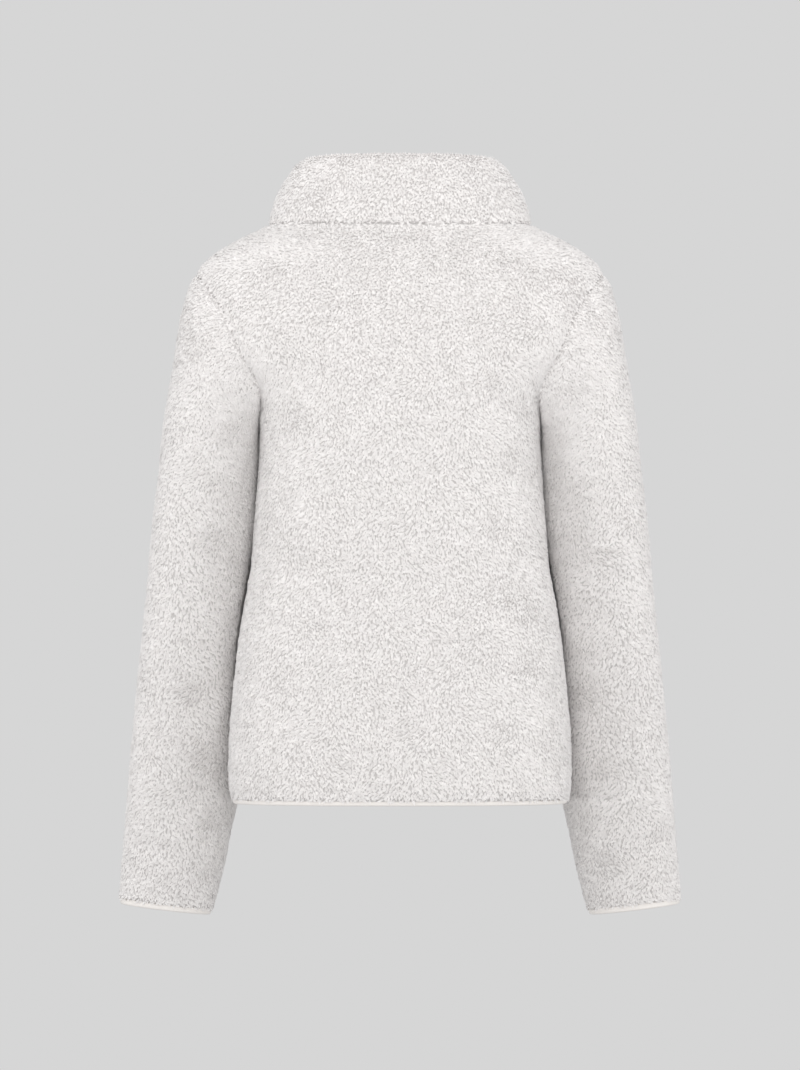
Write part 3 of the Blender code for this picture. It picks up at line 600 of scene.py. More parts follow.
# The collar's outside: from the neckline up to a level superellipse, upright below and
# leaning in above.
def collarGrid(rows):
    base = neckRing()
    count = fineness["neckColumns"] + 1
    power = 2 / jacket["collarSquare"]
    last = np.pi - np.arcsin((jacket["zipOpening"] / jacket["collarHalfWidth"]) ** (1 / power))
    half = np.concatenate([np.linspace(last, np.pi / 2, count), np.linspace(np.pi / 2, 0, count)[1:]])
    turn = np.concatenate([half, -half[::-1][1:]])
    depth = np.where(np.cos(turn) > 0, jacket["collarBack"], jacket["collarFront"])
    x = jacket["collarHalfWidth"] * signedPower(np.sin(turn), power)
    y = -depth * signedPower(np.cos(turn), power)
    z = jacket["collarHeight"] - jacket["collarDrop"] * (1 - np.cos(turn)) ** jacket["collarDropCurve"]
    crest = np.stack([x, y, z], axis=-1)
    rise = rows[:, None, None]
    across = base[None] + (crest - base)[None] * rise ** jacket["collarLean"]
    upward = base[None] + (crest - base)[None] * rise
    return np.concatenate([across[..., :2], upward[..., 2:]], axis=-1)


# The way off a seam along its cloth: the seam crossed with the normal, on the side of towards.
def leaving(along, normal, towards):
    across = unit(np.cross(along, normal))
    return across * np.sign(dot(across, towards))


# The wall across a seam of the body with another piece: halfway between the two normals and the
# two ways off the seam, lengthened as a mitre is.
def seamWall(line, closed, bodySide, otherNormal, otherSide):
    if closed:
        along = np.roll(line, -1, axis=0) - np.roll(line, 1, axis=0)
    else:
        along = np.gradient(line, axis=0)
    normal = bodyNormal(line)
    ways = leaving(along, normal, bodySide) + leaving(along, otherNormal, otherSide)
    together = unit(normal + otherNormal + ways)
    lean = np.clip(dot(together, normal), 1 / jacket["mitreLimit"], 1)
    return -together * jacket["cloth"] / lean


# Faces turned to look the other way.
def turnedOver(sets):
    return [faces[:, ::-1] for faces in sets]


# Faces that cap the first and the last section of a tube.
def endCaps(rows, columns):
    return np.stack([np.arange(columns)[::-1], (rows - 1) * columns + np.arange(columns)])


# Faces of a tube of closed sections, looking away from their middles, its ends capped or joined.
def tubeFaces(points, middle, joined=False):
    rows, columns = points.shape[:2]
    ends = endCaps(rows, columns)
    if joined:
        last, first = ends[1], ends[0][::-1]
        ends = np.stack([last, np.roll(last, -1), np.roll(first, -1), first], axis=-1)
    sets = [gridQuads(rows, columns, True), ends]
    return turnedOver(sets) if dot(gridNormal(points, True), points - middle).mean() > 0 else sets


# A closed wall between two like grids: the inside has one point for every few outside, and each
# rim face joins that many outside points to two inside.
def wallFaces(rows, columns, step, around):
    insideColumns = columns // step if around else (columns - 1) // step + 1
    outer = np.arange(rows * columns).reshape(rows, columns)
    inner = outer.size + np.arange(((rows - 1) // step + 1) * insideColumns).reshape(-1, insideColumns)
    outside = gridQuads(*outer.shape, around)
    inside = gridQuads(*inner.shape, around)[:, ::-1] + outer.size
    if around:
        outer, inner = [np.concatenate([grid, grid[:, :1]], axis=1) for grid in (outer, inner)]
        rims = []
    else:
        rims = [(outer[:, 0], inner[:, 0], True), (outer[:, -1], inner[:, -1], False)]
    made = []
    for far, near, turned in [(outer[0], inner[0], False), (outer[-1], inner[-1], True), *rims]:
        fan = np.arange(len(near) - 1)[:, None] * step + np.arange(step + 1)
        face = np.concatenate([far[fan], np.stack([near[1:], near[:-1]], axis=1)], axis=1)
        made.append(face if turned else face[:, ::-1])
    return outside, inside, np.concatenate(made)


# How the pile lies, in metres unless it says otherwise.
pile = {
    "baseDepth": 0.0013,     # the cloth under the tufts, below the solid's outside
    "fill": 0.0008,          # above it instead where body and sleeve lie against each other
    "lumps": 0.00045,        # height of the base's lumps
    "lumpSize": 0.016,
    "smallLumps": 0.00028,
    "smallLumpSize": 0.0075,
    "seamDip": 0.0005,       # how far the cloth rolls under at an edge
    "seamReach": 0.0055,
    "spacing": 0.00250,
    "lineStep": 0.92,        # between lines of tufts, in spacings
    "jog": 0.45,             # how far a tuft lies off its line, in spacings
    "slack": (0.1, 0.9),     # where it lies in its own stretch of the line
    "length": 0.0066,
    "width": 0.0028,
    "rise": 0.0021,
    "sizes": (0.75, 1.25),   # smallest and largest tuft, as shares
    "lowest": 0.72,          # share of the rise where the cloth faces sideways
    "rootPlace": (-0.38, -0.30),   # shares of length ahead and of rise up
    "footPlace": (0.30, -0.10),
    "tipPlace": (0.58, 0.95),
    "bend": 0.18,            # how far a tip bends sideways, in lengths
    "swirl": 0.85,           # radians
    "swirlSize": 0.055,
    "clump": 0.38,           # radians
    "clumpSize": 0.011,
    "stray": 0.24,           # radians, for each tuft alone
    "calm": 0.85,            # how much straighter it lies on the sides and shoulders
    "calmFrom": (0.45, 0.90),      # how far the cloth has turned from the back by then
    "seamStray": 1.5,        # radians more beside a seam, so that tufts cross it
    "shoulderFlat": (0.25, 0.70),  # how level the cloth is where the pile turns to the arm
    "shoulderPull": 2.5,
    "neckToArm": (0.02, 0.10),     # how far off the centre line it does so
}


# Running lengths along a grid's rows or columns, from its first edge.
def runs(points, axis, around=False):
    gaps = np.linalg.norm(np.diff(points, axis=axis), axis=-1)
    if around:
        gaps = np.concatenate([gaps, np.linalg.norm(points[:, :1] - points[:, -1:], axis=-1)], axis=1)
    zero = np.zeros_like(np.take(gaps, [0], axis=axis))
    return np.cumsum(np.concatenate([zero, gaps], axis=axis), axis=axis)


# A grid's distance from the nearest of its edges.
def edgeDistance(points, around):
    down = runs(points, 0)
    near = np.minimum(down, down[-1:] - down)
    if not around:
        level = runs(points, 1)
        near = np.minimum(near, np.minimum(level, level[:, -1:] - level))
    return near


# Reads a grid at fractional rows and columns, straight between its four points.
def readGrid(grid, row, column, around):
    low = np.clip(row.astype(int), 0, grid.shape[0] - 2)
    part = (row - low).reshape(-1, *[1] * (grid.ndim - 2))
    left = column.astype(int)
    if around:
        left, right = left % grid.shape[1], (left + 1) % grid.shape[1]
        share = (column % 1).reshape(part.shape)
    else:
        left = np.clip(left, 0, grid.shape[1] - 2)
        share = (column - left).reshape(part.shape)
        right = left + 1
    lower = grid[low, left] * (1 - share) + grid[low, right] * share
    upper = grid[low + 1, left] * (1 - share) + grid[low + 1, right] * share
    return lower * (1 - part) + upper * part


# Evenly spread places on a grid: lines across it, and along each as many as its length holds.
def scatter(points, around):
    spacing = pile["spacing"]
    height = runs(points, 0).mean(axis=1)
    lines = np.arange(spacing / 2, height[-1], spacing * pile["lineStep"])
    at = np.interp(lines, height, np.arange(len(height)))
    level = runs(points, 1, around)
    rows, columns = [], []
    for line in at:
        track = level[int(line)]
        count = max(int(track[-1] / spacing), 1)
        place = (np.arange(count) + draws.uniform(*pile["slack"], count)) / count * track[-1]
        rows.append(np.full(count, line))
        columns.append(np.interp(place, track, np.arange(len(track))))
    rows, columns = np.concatenate(rows), np.concatenate(columns)
    rowHeight = height[-1] / (len(height) - 1)
    jog = draws.uniform(-pile["jog"], pile["jog"], len(rows)) * spacing / rowHeight
    return np.clip(rows + jog, 0, points.shape[0] - 1.001), columns


# Tufts, each a closed wedge of four points: a buried root, a foot on either side, and a tip above
# and ahead of the feet that bends to one side. The chart has one cell a tuft: its two upper faces
# left, its front and its underside right.
tuftFaces = np.array([[0, 1, 3], [0, 3, 2], [0, 2, 1], [3, 1, 2]])
tuftAbove = np.array([(0.06, 0.50), (0.28, 0.08), (0.28, 0.92), (0.56, 0.50)])
tuftUnder = np.array([(0.62, 0.50), (0.80, 0.08), (0.80, 0.92), (0.95, 0.50)])


# Keeps the shading of each tuft's faces apart: only its ridge stays smooth.
def splitTufts(made):
    ends = np.zeros(len(made.data.edges) * 2, np.int32)
    made.data.edges.foreach_get("vertices", ends)
    sharp = np.abs(np.diff(ends.reshape(-1, 2) % 4, axis=1)[:, 0]) != 3
    held = made.data.attributes.new("sharp_edge", "BOOLEAN", "EDGE")
    held.data.foreach_set("value", sharp)


# Corner places in the chart for that many tufts, in a square of cells.
def tuftChart(count):
    across = int(np.ceil(np.sqrt(count)))
    cell = np.stack([np.arange(count) % across, np.arange(count) // across], axis=-1)
    shape = np.where(np.arange(4)[:, None, None] > 1, tuftUnder[tuftFaces], tuftAbove[tuftFaces])
    return ((cell[:, None, None] + shape[None]) / across).reshape(-1, 2)


# Each tuft lies along the fall turned by its lean, which swirls, clumps and strays.
def makeTufts(name, points, outward, down, rows, columns, around, look):
    place = readGrid(points, rows, columns, around)
    normal = unit(readGrid(outward, rows, columns, around))
    fall = unit(readGrid(down, rows, columns, around))
    fall = unit(fall - normal * dot(fall, normal))
    side = np.cross(normal, fall)
    count = len(place)
    lean = pile["swirl"] * waves(place, pile["swirlSize"])
    lean = lean + pile["clump"] * waves(place, pile["clumpSize"], 9)
    lean *= 1 - pile["calm"] * smoothStep(*pile["calmFrom"], np.hypot(normal[:, 0], normal[:, 2]))
    edge = readGrid(edgeDistance(points, around)[..., None], rows, columns, around)[:, 0]
    loose = pile["stray"] + pile["seamStray"] * np.clip(1 - edge / pile["seamReach"], 0, 1)
    lean = (lean + loose * draws.normal(size=count))[:, None]
    ahead = fall * np.cos(lean) + side * np.sin(lean)
    across = np.cross(normal, ahead)
    size = draws.uniform(*pile["sizes"], (3, count, 1))
    length = pile["length"] * size[0]
    width = pile["width"] * size[1]
    facing = pile["lowest"] + (1 - pile["lowest"]) * np.abs(normal[:, 1:2])
    rise = pile["rise"] * size[2] * facing
    bend = draws.normal(size=(count, 1)) * pile["bend"] * length
    root, foot, tip = [
        place + ahead * length * along + normal * rise * up
        for along, up in (pile["rootPlace"], pile["footPlace"], pile["tipPlace"])
    ]
    spread = across * width / 2
    corners = np.stack([root, foot - spread, foot + spread, tip + across * bend], axis=1)
    faces = (np.arange(count)[:, None, None] * 4 + tuftFaces).reshape(-1, 3)
    made = addMesh(name, corners.reshape(-1, 3), [faces], [look])
    splitTufts(made)
    storeMap(made, "OFBake", tuftChart(count))
    storeValue(made, "tuftTone", np.repeat(draws.uniform(0, 1, (count, 1)), 4, axis=1))
    # 0 at the root, 1 at the tip: the colour uses it as painted shade, darker at a tuft's root and
    #                              lighter at its tip
    storeValue(made, "tuftEnd", np.tile([0.0, 0.5, 0.5, 1.0], count))
    return made


# Where a sleeve rests on the body: heights between which it starts and ends, the gap under a sleeve,
# and the body's own place as a share of its half width.
contact = {
    "top": (-0.182, -0.198),
    "bottom": (-0.350, -0.300),
    "gap": (0.016, 0.007),
    "side": (0.88, 0.97),
}


# How much a place lies there, from 0 to 1: the steps in height and in gap or side, multiplied.
def underArm(points, around):
    x, y, z = np.abs(points[..., 0]), points[..., 1], points[..., 2]
    low = smoothStep(*contact["top"], z) * smoothStep(*contact["bottom"], z)
    if around:
        return low * smoothStep(*contact["gap"], x - bodyHalfWidth(y, z))
    return low * smoothStep(*contact["side"], x / bodySection(z)[0])


# The cloth of one panel: the grid let down below the tufts, lumpy, and rolled under at its edges.
def clothUnder(points, outward, around):
    lumps = pile["lumps"] * waves(points, pile["lumpSize"], 12)
    lumps += pile["smallLumps"] * waves(points, pile["smallLumpSize"], 12)
    near = np.clip(1 - edgeDistance(points, around) / pile["seamReach"], 0, 1)
    depth = pile["baseDepth"] - (pile["baseDepth"] + pile["fill"]) * underArm(points, around)
    return points + outward * (lumps * (1 - near) - depth - pile["seamDip"] * near**2)[..., None]


# One fleece panel: a closed wall with a plain knitted inside, and its tufts as a second mesh.
def makePanel(name, points, wall, around, down, looks):
    step = fineness["insideStep"]
    outward = -unit(wall)
    under = clothUnder(points, outward, around)
    inner = (points + wall)[::step, ::step]
    sets = wallFaces(*points.shape[:2], step, around)
    if dot(gridNormal(points, around), wall).mean() < 0:
        sets = turnedOver(sets)
    corners = np.concatenate([under.reshape(-1, 3), inner.reshape(-1, 3)])
    cloth = addMesh(name, corners, sets, [looks["pileBase"], looks["backing"]], [0, 1, 0])
    rows, columns = scatter(points, around)
    tufts = makeTufts(name + "Pile", under, outward, down, rows, columns, around, looks["fleece"])
    return cloth, tufts


# A panel's mirror image for the wearer's left, with tufts of its own.
def makePair(name, points, wall, around, down, looks):
    right = makePanel(name + "Right", points, wall, around, down, looks)
    left = makePanel(name + "Left", mirrored(points), mirrored(wall), around, mirrored(down), looks)
    return [right, left]


# Each edge's axis in a grid, its own place along it and the place inside it.
edges = {"first": (0, 0, 1), "last": (0, -1, -2), "left": (1, 0, 1), "right": (1, -1, -2)}


# Moves each named edge of a grid half a seam's gap towards the row or column inside it.
def openSeams(points, names):
    moved = points.copy()
    for axis, edge, inside in [edges[name] for name in names]:
        still, line = np.moveaxis(points, axis, 0), np.moveaxis(moved, axis, 0)
        line[edge] += unit(still[inside] - still[edge]) * jacket["seamGap"] / 2
    return moved


# The way the pile hangs on the body: down, and towards the arm on top of the shoulder.
def bodyFall(points):
    flat = smoothStep(*pile["shoulderFlat"], bodyNormal(points)[..., 2])
    off = smoothStep(*pile["neckToArm"], np.abs(points[..., 0]))
    sideways = pile["shoulderPull"] * flat * np.sign(points[..., 0]) * off
    return np.stack([sideways, 0 * flat, -1 + 0 * flat], axis=-1)


# All the fleece panels, whose walls meet halfway at the armholes and the neckline.
def makeFleece(looks):
    back, front, sleeve = backGrid(), frontGrid(), sleeveGrid()
    neck = neckRing()
    stand = collarGrid(np.array([0.0, 0.04]))  # the neckline and the collar just above it
    sleeveNormal = -gridNormal(sleeve, True)
    neckNormal = gridNormal(stand)[0]
    backWall = -bodyNormal(back) * jacket["cloth"]
    frontWall = -bodyNormal(front) * jacket["cloth"]
    sleeveWall = -sleeveNormal * jacket["cloth"]
    side, rows = fineness["sideRows"], fineness["armholeRows"]

    ring = sleeve[0]
    across = seamWall(ring, True, ring - ring.mean(axis=0), sleeveNormal[0], sleeve[1] - ring)
    sleeveWall[0] = across
    backWall[side:, -1] = across[: rows + 1][::-1]
    backWall[side:, 0] = mirrored(across[: rows + 1][::-1])
    frontWall[side:, -1] = np.concatenate([across[rows:], across[:1]])

    across = seamWall(neck, False, neck - neck.mean(axis=0), neckNormal, stand[1] - neck)
    count, first = fineness["neckColumns"], fineness["shoulderColumns"]
    backWall[-1, first : first + 2 * count + 1] = across[count : 3 * count + 1][::-1]
    frontWall[-1, : count + 1] = across[: count + 1]
    for wall in (backWall, frontWall):
        wall[0, :, 2] = 0
        wall[0] = unit(wall[0]) * jacket["cloth"]
    frontWall[:, 0, 0] = 0

    downSleeve = unit(np.gradient(sleeve, axis=0))
    back = openSeams(back, ("last", "left", "right"))
    front = openSeams(front, ("last", "right"))
    sleeve = openSeams(sleeve, ("first",))
    panels = [makePanel("backCloth", back, backWall, False, bodyFall(back), looks)]
    panels += makePair("frontCloth", front, frontWall, False, bodyFall(front), looks)
    panels += makePair("sleeveCloth", sleeve, sleeveWall, True, downSleeve, looks)
    return panels, front[:, 0], unit(frontWall[:, 0]), sleeve[-1], sleeveWall[-1], across


# The collar's profile: up its outside, over a round crest and down its inside.
collar = {
    "rows": 26,
    "crestStart": 0.72,
    "crestSquare": 2.8,
    "crestRound": 1.3,
    "crestShare": 0.30,    # how much of the narrowing the outside takes
    "crestRise": 0.0016,   # above the solid's crest
    "crestRiseFrom": 0.70,
    "footShare": 0.80,
    "footEnd": 0.18,
    "pileDepth": 0.0012,
    "footDepth": 0.0016,
    "lift": 0.35,          # how far the pile leans outwards
}


# The thickness at shares of the height: less at the foot, and (1 - s^n)^(1 / m) over the crest.
def collarThickness(share):
    over = np.clip((share - collar["crestStart"]) / (1 - collar["crestStart"]), 0, 1)
    crest = np.clip(1 - over ** collar["crestSquare"], 0, 1) ** (1 / collar["crestRound"])
    foot = collar["footShare"] + (1 - collar["footShare"]) * smoothStep(0, collar["footEnd"], share)
    return np.minimum(crest, foot)


# The collar: its outside and, a thickness in, its inside make one loop of rows, capped at the zip.
def makeCollar(neckWall, looks):
    share = np.sin(np.linspace(0, np.pi / 2, collar["rows"]))
    outside = collarGrid(share)
    full = -gridNormal(outside) * jacket["collarThickness"]
    full[:, 0, 0] = full[:, -1, 0] = 0
    narrow = collarThickness(share)[:, None, None]
    tuck = full * np.clip(collar["footShare"] - narrow, 0, 1) * collar["crestShare"]
    wall = full * narrow
    wall[0] = neckWall
    outer = openSeams(outside + tuck, ("first",))
    inner = outer + wall
    loop = np.concatenate([outer, inner[-2::-1]]).transpose(1, 0, 2)
    loop[0, :, 0], loop[-1, :, 0] = jacket["zipOpening"], -jacket["zipOpening"]
    up = np.concatenate([share, share[-2::-1]])
    loop[..., 2] += collar["crestRise"] * smoothStep(collar["crestRiseFrom"], 1.0, up)
    facing = -gridNormal(loop, True)
    inwards = dot(facing, loop - (loop + loop[:, ::-1]) / 2).mean() < 0
    outward = -facing if inwards else facing
    lumps = pile["lumps"] * waves(loop, pile["lumpSize"], 12)
    sunk = loop + outward * (lumps - collar["pileDepth"])[..., None]
    foot = unit(neckWall) * collar["footDepth"]
    sunk[:, 0], sunk[:, -1] = loop[:, 0] + foot, loop[:, -1] - foot
    sunk[(0, -1), :, 0] = loop[(0, -1), :, 0]
    sets = [gridQuads(*loop.shape[:2], True), endCaps(*loop.shape[:2])]
    if inwards:
        sets = turnedOver(sets)
    cloth = addMesh("collarCloth", sunk.reshape(-1, 3), sets, [looks["pileBase"]])
    down = np.array([0.0, 0.0, -1.0]) + outward * collar["lift"]
    level, outward, down = [grid.transpose(1, 0, 2) for grid in (sunk, outward, down)]
    rows, columns = scatter(level, False)
    tufts = makeTufts("collarClothPile", level, outward, down, rows, columns, False, looks["fleece"])
    return cloth, tufts, outside


# Bindings: a ring carried down its free edge and back up, with fine gathers.
binding = {
    "thickness": 0.0042,
    "inset": 0.0022,
    "hemHeight": 0.0050,
    "cuffHeight": 0.0064,
    "hemColumns": 220,
    "profile": 9,
    "straight": (0.3, 0.55),   # shares of the height with a point above the round
    "round": 0.0019,
    "pucker": 0.00016,
    "puckerStep": 2.1,    # radians a column
}


# The profile: straight down outside, a half round at the bottom, straight up inside. The ring is
# joined to itself, or capped at both ends beside the zip.
def makeBinding(name, ring, inward, down, height, joined, look):
    half = binding["thickness"] / 2
    radius = binding["round"]
    turn = np.linspace(0, np.pi, binding["profile"])
    upright = np.array([jacket["seamGap"], *[height * share for share in binding["straight"]]])
    flat = np.full(len(upright), half)
    level = np.concatenate([-flat, -half * np.cos(turn), flat])
    drop = np.concatenate([upright, height - radius + radius * np.sin(turn), upright[::-1]])
    gather = 1 + binding["pucker"] / half * np.sin(np.arange(len(ring)) * binding["puckerStep"])
    inside = binding["inset"] + half + level * gather[:, None]
    points = ring[:, None] + inward[:, None] * inside[..., None] + down * drop[:, None]
    if not joined:
        points[0, :, 0], points[-1, :, 0] = jacket["zipOpening"], -jacket["zipOpening"]
    middle = (ring + inward * (binding["inset"] + half))[:, None] + down * height / 2
    return addMesh(name, points.reshape(-1, 3), tubeFaces(points, middle, joined), [look])


# The hem's ring runs from one side of the zip round the back to the other, and a cuff's is the
# sleeve's last ring, drawn out square to its plane.
def makeBindings(cuffRing, cuffWall, look):
    first = zipAngle(np.array(jacket["hemHeight"]))
    right = np.linspace(first, 0, binding["hemColumns"] // 2 + 1)
    angle = np.concatenate([right, -right[::-1][1:]])
    ring = bodyRing(np.full(angle.shape, jacket["hemHeight"]), angle)
    inward = unit(-bodyNormal(ring) * (1, 1, 0))
    inward[0] = inward[-1] = (0, -1, 0)
    fall = np.array([0.0, 0.0, -1.0])
    made = [makeBinding("hemBinding", ring, inward, fall, binding["hemHeight"], False, look)]
    down = unit(np.cross(cuffRing[0] - cuffRing[len(cuffRing) // 2], np.array([0.0, 1.0, 0.0])))
    down = down * -np.sign(down[2])
    inward = unit(cuffWall)
    cuff = [cuffRing, unit(inward - dot(inward, down) * down), down]
    made.append(makeBinding("cuffBindingRight", *cuff, binding["cuffHeight"], True, look))
    cuff = [mirrored(part) for part in cuff]
    made.append(makeBinding("cuffBindingLeft", *cuff, binding["cuffHeight"], True, look))
    return made


# The zip: two tapes on one path, a moulded tooth every pitch, stitches, and stops.
fastener = {
    "tapeDepth": 0.0032,
    "tapeThickness": 0.0016,
    "tapeRound": 0.00045,
    "spread": 0.0014,        # from the centre line to a tape above the slider
    "sliderShare": 0.70,     # of the collar's height
    "topShare": 0.84,
    "mouthShare": 0.62,
    "step": 0.0025,
    "tapeRepeats": 20.0,     # the weave's map runs this much a metre
    "pitch": 0.0032,
    "teethEnds": (0.011, 0.0035),     # bare length below and above the teeth
    "toothReach": 0.0016,    # past the tape's inner edge
    "toothRoot": 0.0016,     # onto the tape
    "toothHalf": 0.00068,
    "toothThickness": 0.0022,
    "stitchPitch": 0.0032,
    "stitchEnds": (0.004, 0.003),
    "stitchLength": 0.0023,
    "stitchWidth": 0.0006,
    "stitchPlace": 0.0056,   # from the centre line
    "stitchProud": 0.0001,
    "stopEnds": (0.0035, 0.0024),
    "stopHalf": (0.0016, 0.0022),
    "stopThickness": 0.0030,
    "stopPlace": 0.0020,     # past the tape's inner edge
}


# Values along a path read between its places.
def readPath(places, even, values):
    return np.stack([np.interp(places, even, values[:, one]) for one in range(3)], axis=-1)


# The zip's line: up the fronts' edges and the collar's, with the way into the cloth, evenly stepped.
def zipPath(frontEdge, frontInward, collarOutside):
    below = frontEdge[:1].copy()
    below[0, 2] = jacket["hemHeight"] - binding["hemHeight"]
    collarEdge = collarOutside[:, 0]
    inward = -gridNormal(collarOutside)[:, 0]
    inward[:, 0] = 0
    share = np.sin(np.linspace(0, np.pi / 2, collar["rows"]))
    use = (share > 0.01) & (share < fastener["topShare"])
    line = np.concatenate([below, frontEdge[:-1], collarEdge[use]])
    into = np.concatenate([frontInward[:1], frontInward[:-1], unit(inward[use])])
    line[:, 0] = 0
    track = np.concatenate([[0], np.cumsum(np.linalg.norm(np.diff(line, axis=0), axis=1))])
    even = np.linspace(0, track[-1], int(track[-1] / fastener["step"]) + 1)
    line, into = readPath(even, track, line), unit(readPath(even, track, into))
    mouth = np.interp(fastener["mouthShare"], share, collarEdge[:, 2])
    middle = np.interp(fastener["sliderShare"], share, collarEdge[:, 2])
    closed = jacket["seamGap"] / 2
    edge = closed + (fastener["spread"] - closed) * smoothStep(mouth, middle, line[:, 2])
    return even, line, into, edge


# A tape: a flat strip with rounded edges, its section carried up the path.
def makeTape(name, path, side, look):
    even, line, into, edge = path
    half, soft = fastener["tapeThickness"] / 2, fastener["tapeRound"]
    wide = jacket["zipOpening"] - jacket["seamGap"] - edge
    middle, far = edge + wide / 2, edge + wide
    across = [edge + soft, edge, edge, edge + soft, middle, far - soft, far, far, far - soft, middle]
    across = np.stack(across, axis=-1)
    deep = half * np.array([-1, -0.4, 0.4, 1, 1, 1, 0.4, -0.4, -1, -1])
    points = np.zeros((len(even), len(deep), 3))
    points += (line + into * (fastener["tapeDepth"] + half))[:, None]
    points += into[:, None] * deep[:, None]
    points[..., 0] += across
    points[..., 0] *= side
    sets = tubeFaces(points, points.mean(axis=1, keepdims=True))
    made = addMesh(name, points.reshape(-1, 3), sets, [look])
    chart = np.stack(np.broadcast_arrays(across, even[:, None]), axis=-1) * fastener["tapeRepeats"]
    corners = np.concatenate([faces.ravel() for faces in sets])
    storeMap(made, "tapeRun", chart.reshape(-1, 2)[corners])
    return made


# Copies of one closed shape, given across, up and out, at places on the zip's path. They follow the
# tape's inner edge or the centre line, shifted from it.
def repeatOnPath(name, path, side, block, places, follows, shift, depth, look):
    even, line, into, edge = path
    shape, faces = block
    at = readPath(places, even, line)
    inward = unit(readPath(places, even, into))
    rise = unit(readPath(places, even, np.gradient(line, axis=0)))
    off = np.interp(places, even, edge) * follows + shift
    points = (at + inward * depth)[:, None] + shape[None, :, 1, None] * rise[:, None]
    points = points - shape[None, :, 2, None] * inward[:, None]
    points[..., 0] += off[:, None] + shape[None, :, 0]
    points[..., 0] *= side
    first = np.arange(len(places))[:, None, None] * len(shape)
    sets = [(first + group).reshape(-1, group.shape[1]) for group in faces]
    if side < 0:
        sets = turnedOver(sets)
    return addMesh(name, points.reshape(-1, 3), sets, [look], smooth=False)


# An outline drawn out between two depths, the front a little smaller: points and faces.
def blockOf(outline, thickness, front):
    middle = outline.mean(axis=0)
    half = thickness / 2
    layers = []
    for depth, size in ((-half, front), (-half * 0.7, 1.0), (half * 0.7, 1.0), (half, front)):
        flat = middle + (outline - middle) * size
        layers.append(np.concatenate([flat, np.full((len(flat), 1), depth)], axis=1))
    sets = [gridQuads(4, len(outline), True), endCaps(4, len(outline))]
    x, y = outline.T
    if np.sum(x * np.roll(y, -1) - y * np.roll(x, -1)) < 0:
        sets = turnedOver(sets)
    return np.concatenate(layers), sets


# A tooth narrows to a neck and ends in a head, a stitch is pointed at both ends, a stop is a block.
def makeZip(frontEdge, frontInward, collarOutside, looks):
    path = zipPath(frontEdge, frontInward, collarOutside)
    length = path[0][-1]
    head, half, root = fastener["toothReach"], fastener["toothHalf"], fastener["toothRoot"]
    upper = [(root, 0.8), (0.1 * head, 0.62), (-0.35 * head, 1.0), (-0.85 * head, 1.0), (-head, 0.4)]
    upper = np.array(upper) * (1, half)
    outline = np.concatenate([upper, upper[::-1] * (1, -1)])
    tooth = blockOf(np.roll(outline, 1, axis=0), fastener["toothThickness"], 0.82)
    size, wide = fastener["stitchLength"] / 2, fastener["stitchWidth"] / 2
    lower = np.array([(-wide, -size * 0.7), (0, -size), (wide, -size * 0.7)])
    stitch = blockOf(np.concatenate([lower, -lower]), fastener["stitchWidth"], 0.6)
    corners = np.array([(-1, -1), (1, -1), (1, 1), (-1, 1)])
    stop = blockOf(corners * fastener["stopHalf"], fastener["stopThickness"], 0.8)
    middle = fastener["tapeDepth"] + fastener["tapeThickness"] / 2
    front = fastener["tapeDepth"] - fastener["stitchProud"]
    below, above = fastener["teethEnds"]
    lowest, highest = fastener["stitchEnds"]
    stitches = np.arange(lowest, length - highest, fastener["stitchPitch"])
    stops = np.array([fastener["stopEnds"][0], length - fastener["stopEnds"][1]])
    pieces = []
    for side, word in ((1, "Right"), (-1, "Left")):
        offset = 0.0 if side > 0 else fastener["pitch"] / 2
        teeth = np.arange(below + offset, length - above, fastener["pitch"])
        pieces.append(makeTape("zipTape" + word, path, side, looks["tape"]))
        for name, block, places, follows, shift, depth, look in (
            ("zipTeeth", tooth, teeth, 1, 0, middle, "teeth"),
            ("zipStitches", stitch, stitches, 0, fastener["stitchPlace"], front, "thread"),
            ("zipStops", stop, stops, 1, fastener["stopPlace"], middle, "teeth"),
        ):
            pieces.append(repeatOnPath(
                name + word, path, side, block, places, follows, shift, depth, looks[look]
            ))
    return pieces


# The fleece: its colours, how fine its patches and fibres are, and how much each lightens a tuft. The
# deep colour is painted shade on the ground between the tufts, the lightening towards a tuft's tip is
# painted shade at its root, and the fibres' share is partly fibre grain, partly painted shade in the
# bump's hollows.
nap = {
    "light": (0.950, 0.926, 0.915),
    "middle": (0.740, 0.715, 0.705),
    # the deep colour is painted shade: it darkens the ground between the tufts for the shade deep in
    # the pile
    "deep": (0.460, 0.440, 0.432),
    "patches": 55.0,
    "fibres": 900.0,
    "toneShare": 0.50,
    "rootShadeShare": 0.45,
    # painted shade: how much darker a tuft's root is than its tip, for the shade deep in the pile
    "patchShare": 0.20,
    # the fibre noise also drives the bump, so its colour is partly fibre grain and partly painted
    # shade in the bump's hollows, in the tufts and in the ground below
    "fibreAndHollowShadeShare": 1.2,
    "groundShares": (0.6, 0.4),   # of patches and fibres, in the cloth below the tufts
    "rough": (0.78, 0.2),
    "relief": (0.0009, 0.8),
    "same": {"Sheen Weight": 0.35, "Sheen Roughness": 0.5, "Specular IOR Level": 0.2},
}

